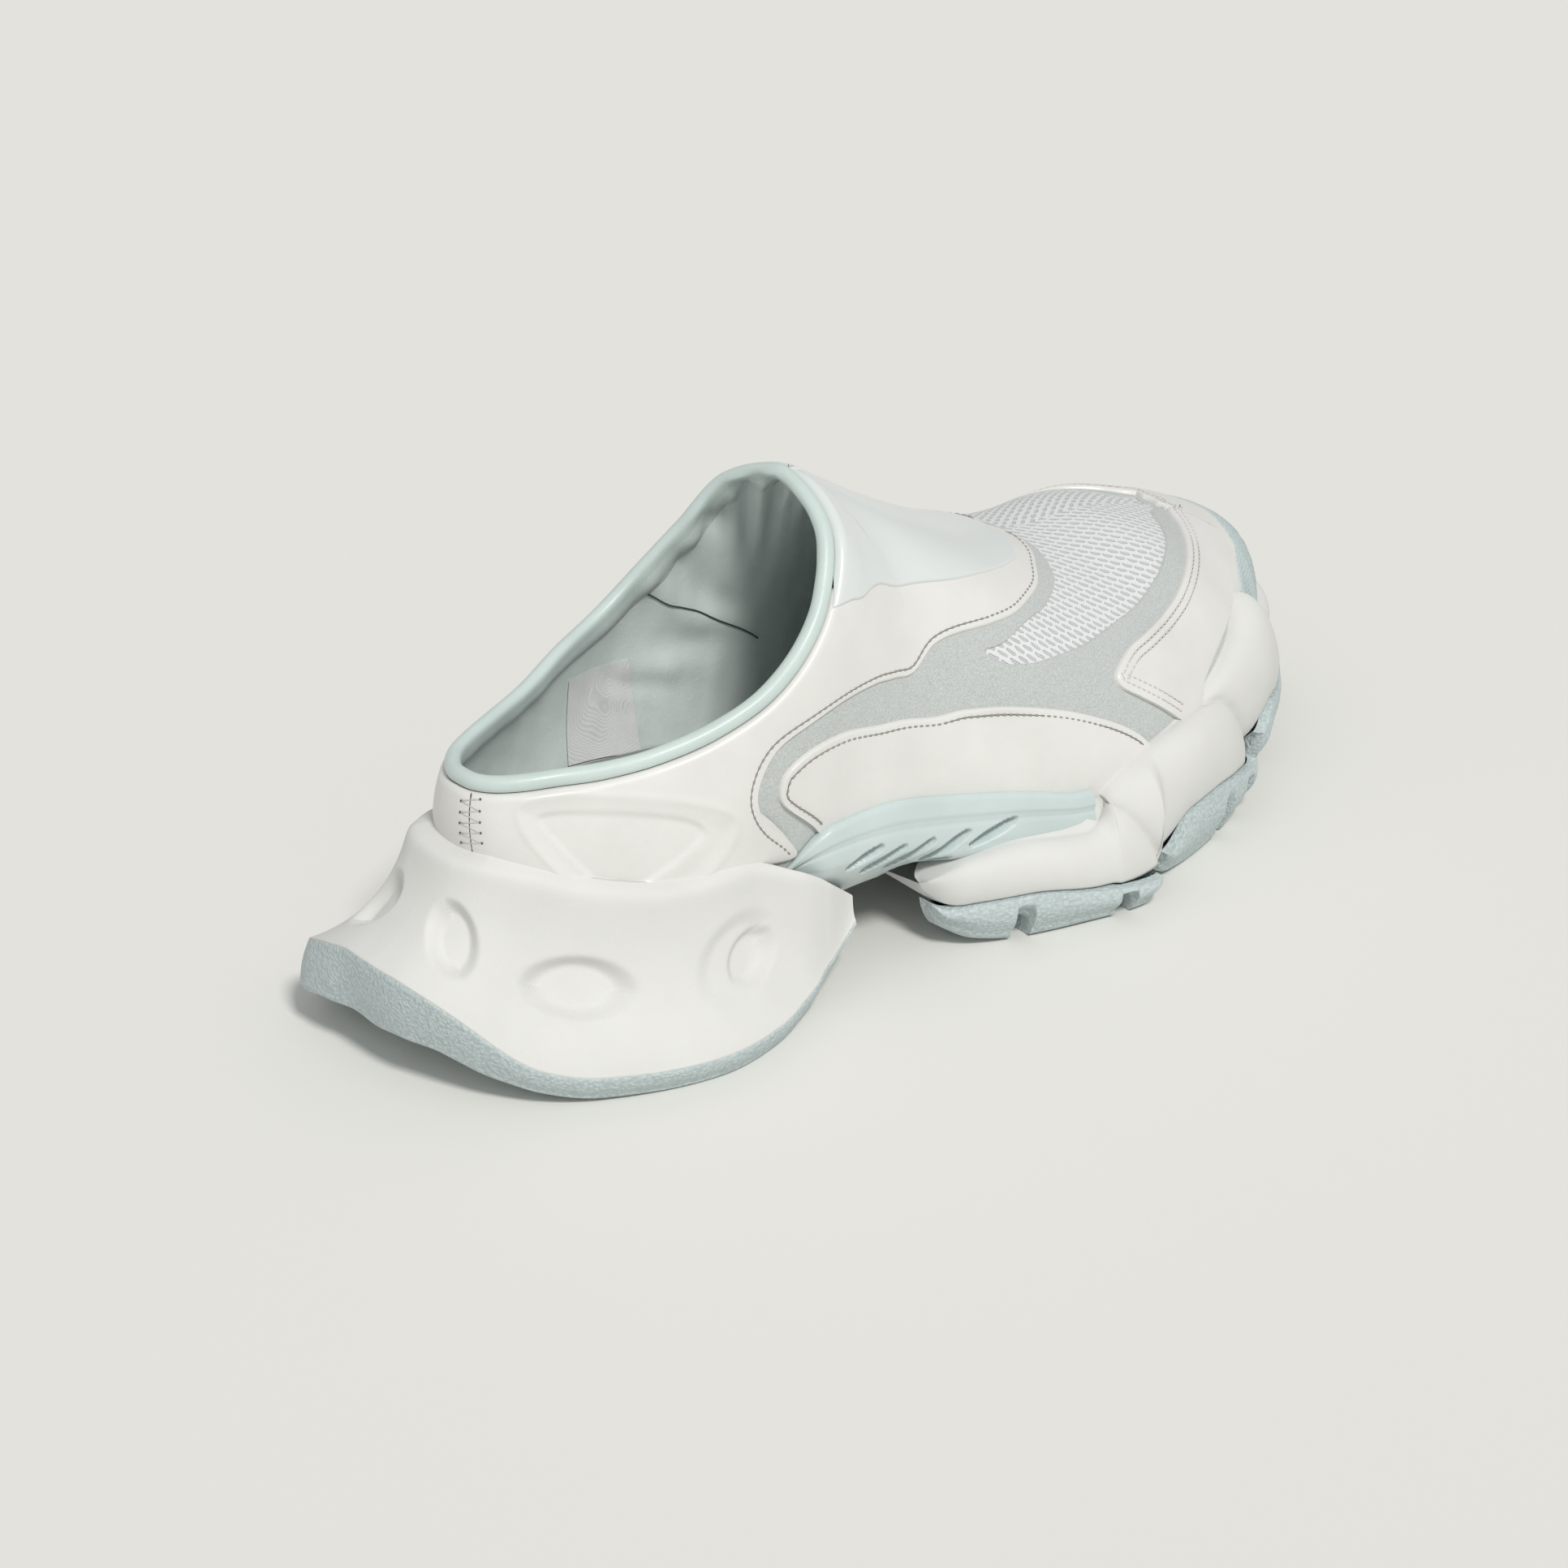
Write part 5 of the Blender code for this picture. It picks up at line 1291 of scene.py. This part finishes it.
def build_fore_foam():
    side_steps = 48
    stations = np.linspace(FORE_START, 2 * TOE - FORE_START, 640)
    station = station_of(stations)
    edge, out = smooth(FOOT, stations), outward(stations)
    top = fore_table("top", stations) * HEEL_LIFT
    start = skin(stations, rise_at(stations, edge[:, 2] + np.maximum(top, 0)), 1.3 * GAP)
    # The first lobe lies on the outside of the shank and is roofed over behind it
    lobe_front, lobe_turn, roof = 7.32, 0.16, 11.4 * MM
    outer = ease((lobe_front - station) / lobe_turn)[:, None]
    start += (edge + out * (RAIL + 0.2 * MM) + UP * top[:, None] - start) * outer
    end = sole_edge(fore_table, FORE_FLARE, stations, "line")
    height = (start[:, 2] - end[:, 2])[:, None]
    reach = ((end - start) * out).sum(-1)[:, None]
    bulge = 2.2 * MM
    # The first lobe is a wedge, low behind and high in front, where the second one starts
    lift = gentle(station, *CROWN)[:, None] * MM
    crown = start + out * (0.70 * reach + bulge) + UP * lift
    belly = end + out * bulge + UP * np.maximum(0.45 * height, 4.5 * MM)
    share = np.linspace(0, 1, side_steps)[None, :]
    side = bezier(share[..., None], start[:, None], crown[:, None], belly[:, None], end[:, None])
    pinch = (0.75 + 0.25 * ease(share / 0.4)) * LOBE_DEPTH * (1 - lobe(station[:, None], share))
    pinch = pinch * ease((station - FORE_START - 0.1) / 0.6)[:, None]
    relief = 0.2 * MM * noise(side, 0.035, 51) - 1.5 * pinch * ease(share / 0.04)
    side = side + grid_normals(side) * relief[..., None]
    inner = start - UP * 2.0 * MM - out * 0.6 * MM - (out * roof - UP * 1.0 * MM) * outer
    underside = spine(stations, fore_table("line", held(stations)) * HEEL_LIFT)
    points = join_columns(inner, side, across(side[:, -1], underside, np.linspace(0, 1, 10)[1:]))
    # Its two ends behind close to rounded noses
    past = np.minimum(lengths_along(edge), lengths_along(edge)[-1] - lengths_along(edge))
    nose = shoulder(past, NOSE)[:, None, None]
    heart = (edge + out * 1.5 * MM)[:, None] * (1, 1, 0) + UP * (0.5 * (start[:, 2:] + end[:, 2:]))[:, None]
    heart = heart + UP * 1.0 * MM
    near_side, hem = slice(0, side_steps + 1), slice(side_steps, side_steps + 1)
    points[:, near_side] = heart + (points[:, near_side] - heart) * nose
    points[:, hem.stop:] = points[:, hem] + (points[:, hem.stop:] - points[:, hem]) * nose
    sheet("fore_foam", points, FOAM_WHITE, ("forefoot_midsole",), flip=True)
    # Behind, the sole is hollowed out between them
    row = int(np.searchsorted(past, 0.9 * NOSE))
    turn = np.linspace(0, math.pi, 60)[:, None, None]
    wall = points[row] + (points[-1 - row] - points[row]) * (1 - np.cos(turn)) / 2
    hollow = 26.0 * MM
    wall[..., 0] += hollow * ease(np.sin(turn[..., 0]) * 2.2)
    sheet("fore_foam_back", wall, FOAM_WHITE, flip=True)


def notch_height(along, notches):
    """Height of the round-topped grooves across a pod, at the running lengths along it."""
    height = np.zeros_like(along)
    for notch in notches:
        away = np.abs(along - notch)
        arch = NOTCH_HEIGHT - NOTCH_HALF + np.sqrt(np.clip(NOTCH_HALF ** 2 - away ** 2, 0, None))
        height = np.where(away < NOTCH_HALF, arch, height)
    return height


def build_pod(name, first, last, notches):
    stations = np.linspace(first, last, 260)
    out = outward(stations)
    line, ground = (sole_edge(fore_table, FORE_FLARE, stations, name) for name in ("line", "ground"))
    along = lengths_along(ground)
    roof = spine(stations, fore_table("line", held(stations)) * HEEL_LIFT)
    reach = 0.08 + (POD_REACH - 0.08) * ease((station_of(stations) - FORE_START) / 0.9)
    inner = line + (roof - line) * reach[:, None]
    near_end = 1 - shoulder(np.minimum(along, along[-1] - along), 5 * MM)
    ground[:, 2] += notch_height(along, np.interp(notches, stations, along)) + 2.2 * POD_LIFT * near_end
    ground -= out * (2.0 * MM * near_end)[:, None]
    top = line - UP * 1.5 * GAP + out * (0.9 * MM * (1 - near_end))[:, None]
    foot_round = np.minimum(2 * TREAD_ROUND, 0.4 * (top[:, 2] - ground[:, 2]))[:, None]
    foot = ground + UP * foot_round
    share = np.linspace(0, 1, 20)
    wall = across(top, foot, share)
    wall += out[:, None] * (1.6 * MM * np.sin(math.pi * share[None, :, None]) * (1 - near_end)[:, None, None])
    round_foot = rounding(foot, out, foot_round, 5)
    inside = inner.copy()
    inside[:, 2] = ground[:, 2]
    points = join_columns(top - out * 3 * MM, wall, *round_foot,
                          across(round_foot[-1], inside, np.linspace(0, 1, 7)[1:]), inner - UP * 2 * GAP)
    caps = [fan(points[row], points[row].mean(axis=0), 6) for row in (0, -1)]
    body = np.concatenate([caps[0][::-1], points[1:-1], caps[1]])
    sheet(f"tread_{name}", body, RUBBER, (f"pod_{name}",), flip=True, smooth_angle=SHARP_EDGE)


def build_pods():
    for index, (first, last, notches) in enumerate(PODS, 1):
        build_pod(f"outer_{index}", first, last, notches)
        build_pod(f"inner_{index}", 2 * TOE - last, 2 * TOE - first, [2 * TOE - at for at in notches[::-1]])
    build_pod("toe", TOE_POD, 2 * TOE - TOE_POD, ())


def slot_relief(points):
    """Depth of the lattice slots in the shank's side."""
    flat = points[..., [0, 2]] / MM
    depth = np.zeros(points.shape[:-1])
    for x1, z1, x2, z2, half in SLOTS:
        gap, share = segment_gap(flat, np.array((x1, z1)), np.array((x2, z2)))
        width = half * (0.35 + 0.65 * np.sin(math.pi * np.clip(0.12 + 0.76 * share, 0, 1)))
        depth = np.maximum(depth, SLOT_DEPTH * ease((width + 0.25 - gap) / 0.5))
    return depth


def build_shank():
    station = SHANK_BACK + (SHANK_FRONT - SHANK_BACK) * np.linspace(0, 1, 300)
    # A raised band runs along the top, with a groove under it and the slots below
    band_foot = 0.26
    down = np.linspace(0, 1, 84)
    band = 0.5 * MM * ease((band_foot - 0.02 - down) / 0.04)
    groove = -0.25 * MM * np.exp(-((down - band_foot - 0.01) / 0.015) ** 2)
    for name, side in (("shank_outer", 1), ("shank_inner", -1)):
        u = station if side > 0 else 2 * TOE - station
        points = np.stack([shank_profile(u, fall) for fall in down], axis=1)
        lifted = points + grid_normals(points) * side * (band + groove)[None, :, None]
        lifted[..., 1] -= np.sign(points[..., 1]) * slot_relief(points) * (down > band_foot)
        sheet(name, lifted, TPU, ("shank",), flip=side > 0)


def shank_profile(u, fall):
    """Points of the shank's skin at a share of the way from its top edge to its middle."""
    edge, out = smooth(FOOT, u), outward(u)
    top_height = shank_table("top", u) * HEEL_LIFT * ease((station_of(u) - 4.0) / 0.6)
    rise = rise_at(u, edge[:, 2] + top_height)
    top = skin(u, rise, 1.0 * MM)
    # The rail comes out from behind the heel foam
    rail = (RAIL * ease((station_of(u) - 4.05) / 0.55))[:, None]
    rim = top + out * 0.6 * rail
    belly = edge + out * rail + UP * 0.1 * top_height[:, None]
    low = edge - out * (shank_table("tuck", u) * BALL_WIDTH)[:, None]
    low[:, 2] = edge[:, 2] + shank_table("under", u) * HEEL_LIFT
    keel = spine(u, edge[:, 2] + shank_table("keel", u) * HEEL_LIFT)
    knots = (top, rim, belly, low, keel)
    last = len(knots) - 1
    at = np.interp(fall, (0.0, 0.07, 0.45, 0.75, 1.0), range(last + 1))
    row = min(int(at), last - 1)
    before, a, b, after = (knots[min(max(row + step, 0), last)] for step in (-1, 0, 1, 2))
    tension = 0.35
    return hermite(at - row, a, (b - before) * tension, b, (after - a) * tension)


def build_bumper():
    curves = both_halves(edge_curves(BUMPER, 110))
    places, from_first, from_second = sheet_grid(curves, 100)
    distance = np.minimum(from_first, from_second)
    base, radius, rib_height, rib_pitch = 0.3 * MM, 2.2 * MM, 0.28 * MM, 1.15 * MM
    thick = 2.7 * MM - 1.0 * MM * places[..., 1]
    ribs = rib_height * np.sin(from_first / rib_pitch * 2 * math.pi) * ease(distance / (2.5 * MM))
    offset = base + (thick - base) * shoulder(distance, radius) + ribs
    sheet("toe_guard", skin(*split(places), offset), RIBBED, ("toe_bumper",))


# Surroundings

CAMERA_PLACE = (-0.84474, -0.97895, 0.71458)   # fitted to the photo, from behind the outer side
CAMERA_TURN = (62.0, 0.0, -40.0)
FOCAL_PIXELS = 6815.0
PICTURE_PIXELS = 1932.0
SENSOR = 36.0
FLOOR_SIZE = 40.0
WORLD_STRENGTH = 0.47
KEY_ENERGY = 2.02
KEY_ANGLE = 12
KEY_DIRECTION = (0.3, 1.0, -1.35)


def build_camera():
    data = bpy.data.cameras.new("view")
    data.sensor_width = SENSOR
    data.lens = FOCAL_PIXELS / PICTURE_PIXELS * SENSOR
    camera = bpy.data.objects.new("view", data)
    camera.location = CAMERA_PLACE
    camera.rotation_euler = [math.radians(angle) for angle in CAMERA_TURN]
    bpy.context.scene.collection.objects.link(camera)
    bpy.context.scene.camera = camera


def build_stage():
    mesh = bpy.data.meshes.new("floor")
    corners = [(x * FLOOR_SIZE, y * FLOOR_SIZE, 0) for x, y in ((-1, -1), (1, -1), (1, 1), (-1, 1))]
    mesh.from_pydata(corners, [], [(0, 1, 2, 3)])
    look, tree = new_look("pale_floor")
    inputs = tree.nodes["Principled BSDF"].inputs
    tree.links.new(mix_color(tree, noise_socket(tree, 3, 2), (0.79, 0.785, 0.755), (0.80, 0.795, 0.765)),
                   inputs["Base Color"])
    inputs["Roughness"].default_value = 0.9
    inputs["Specular IOR Level"].default_value = 0.1
    mesh.materials.append(look)
    floor = bpy.data.objects.new("floor", mesh)
    bpy.context.scene.collection.objects.link(floor)


def build_light():
    bpy.context.scene.view_settings.view_transform = "Standard"
    world = bpy.data.worlds.new("studio")
    bpy.context.scene.world = world
    world.use_nodes = True
    background = world.node_tree.nodes["Background"]
    background.inputs["Color"].default_value = (0.985, 0.995, 1.0, 1.0)
    background.inputs["Strength"].default_value = WORLD_STRENGTH
    key = bpy.data.lights.new("key", "SUN")
    key.energy = KEY_ENERGY
    key.angle = math.radians(KEY_ANGLE)
    key.color = (1.0, 0.985, 0.955)
    lamp = bpy.data.objects.new("key", key)
    lamp.rotation_euler = Vector(KEY_DIRECTION).to_track_quat("-Z", "Y").to_euler()
    bpy.context.scene.collection.objects.link(lamp)


build_camera()
build_stage()
build_light()
build_knit()
build_suede()
quarter_edges = build_quarter()
panel_edges, cap_edges = build_panels()
build_shield()
build_stitches(quarter_edges, panel_edges, cap_edges)
build_back_seam()
build_collar()
build_lining()
build_label()
build_insole()
build_heel_foam()
build_heel_rubber()
build_fore_foam()
build_pods()
build_shank()
build_bumper()
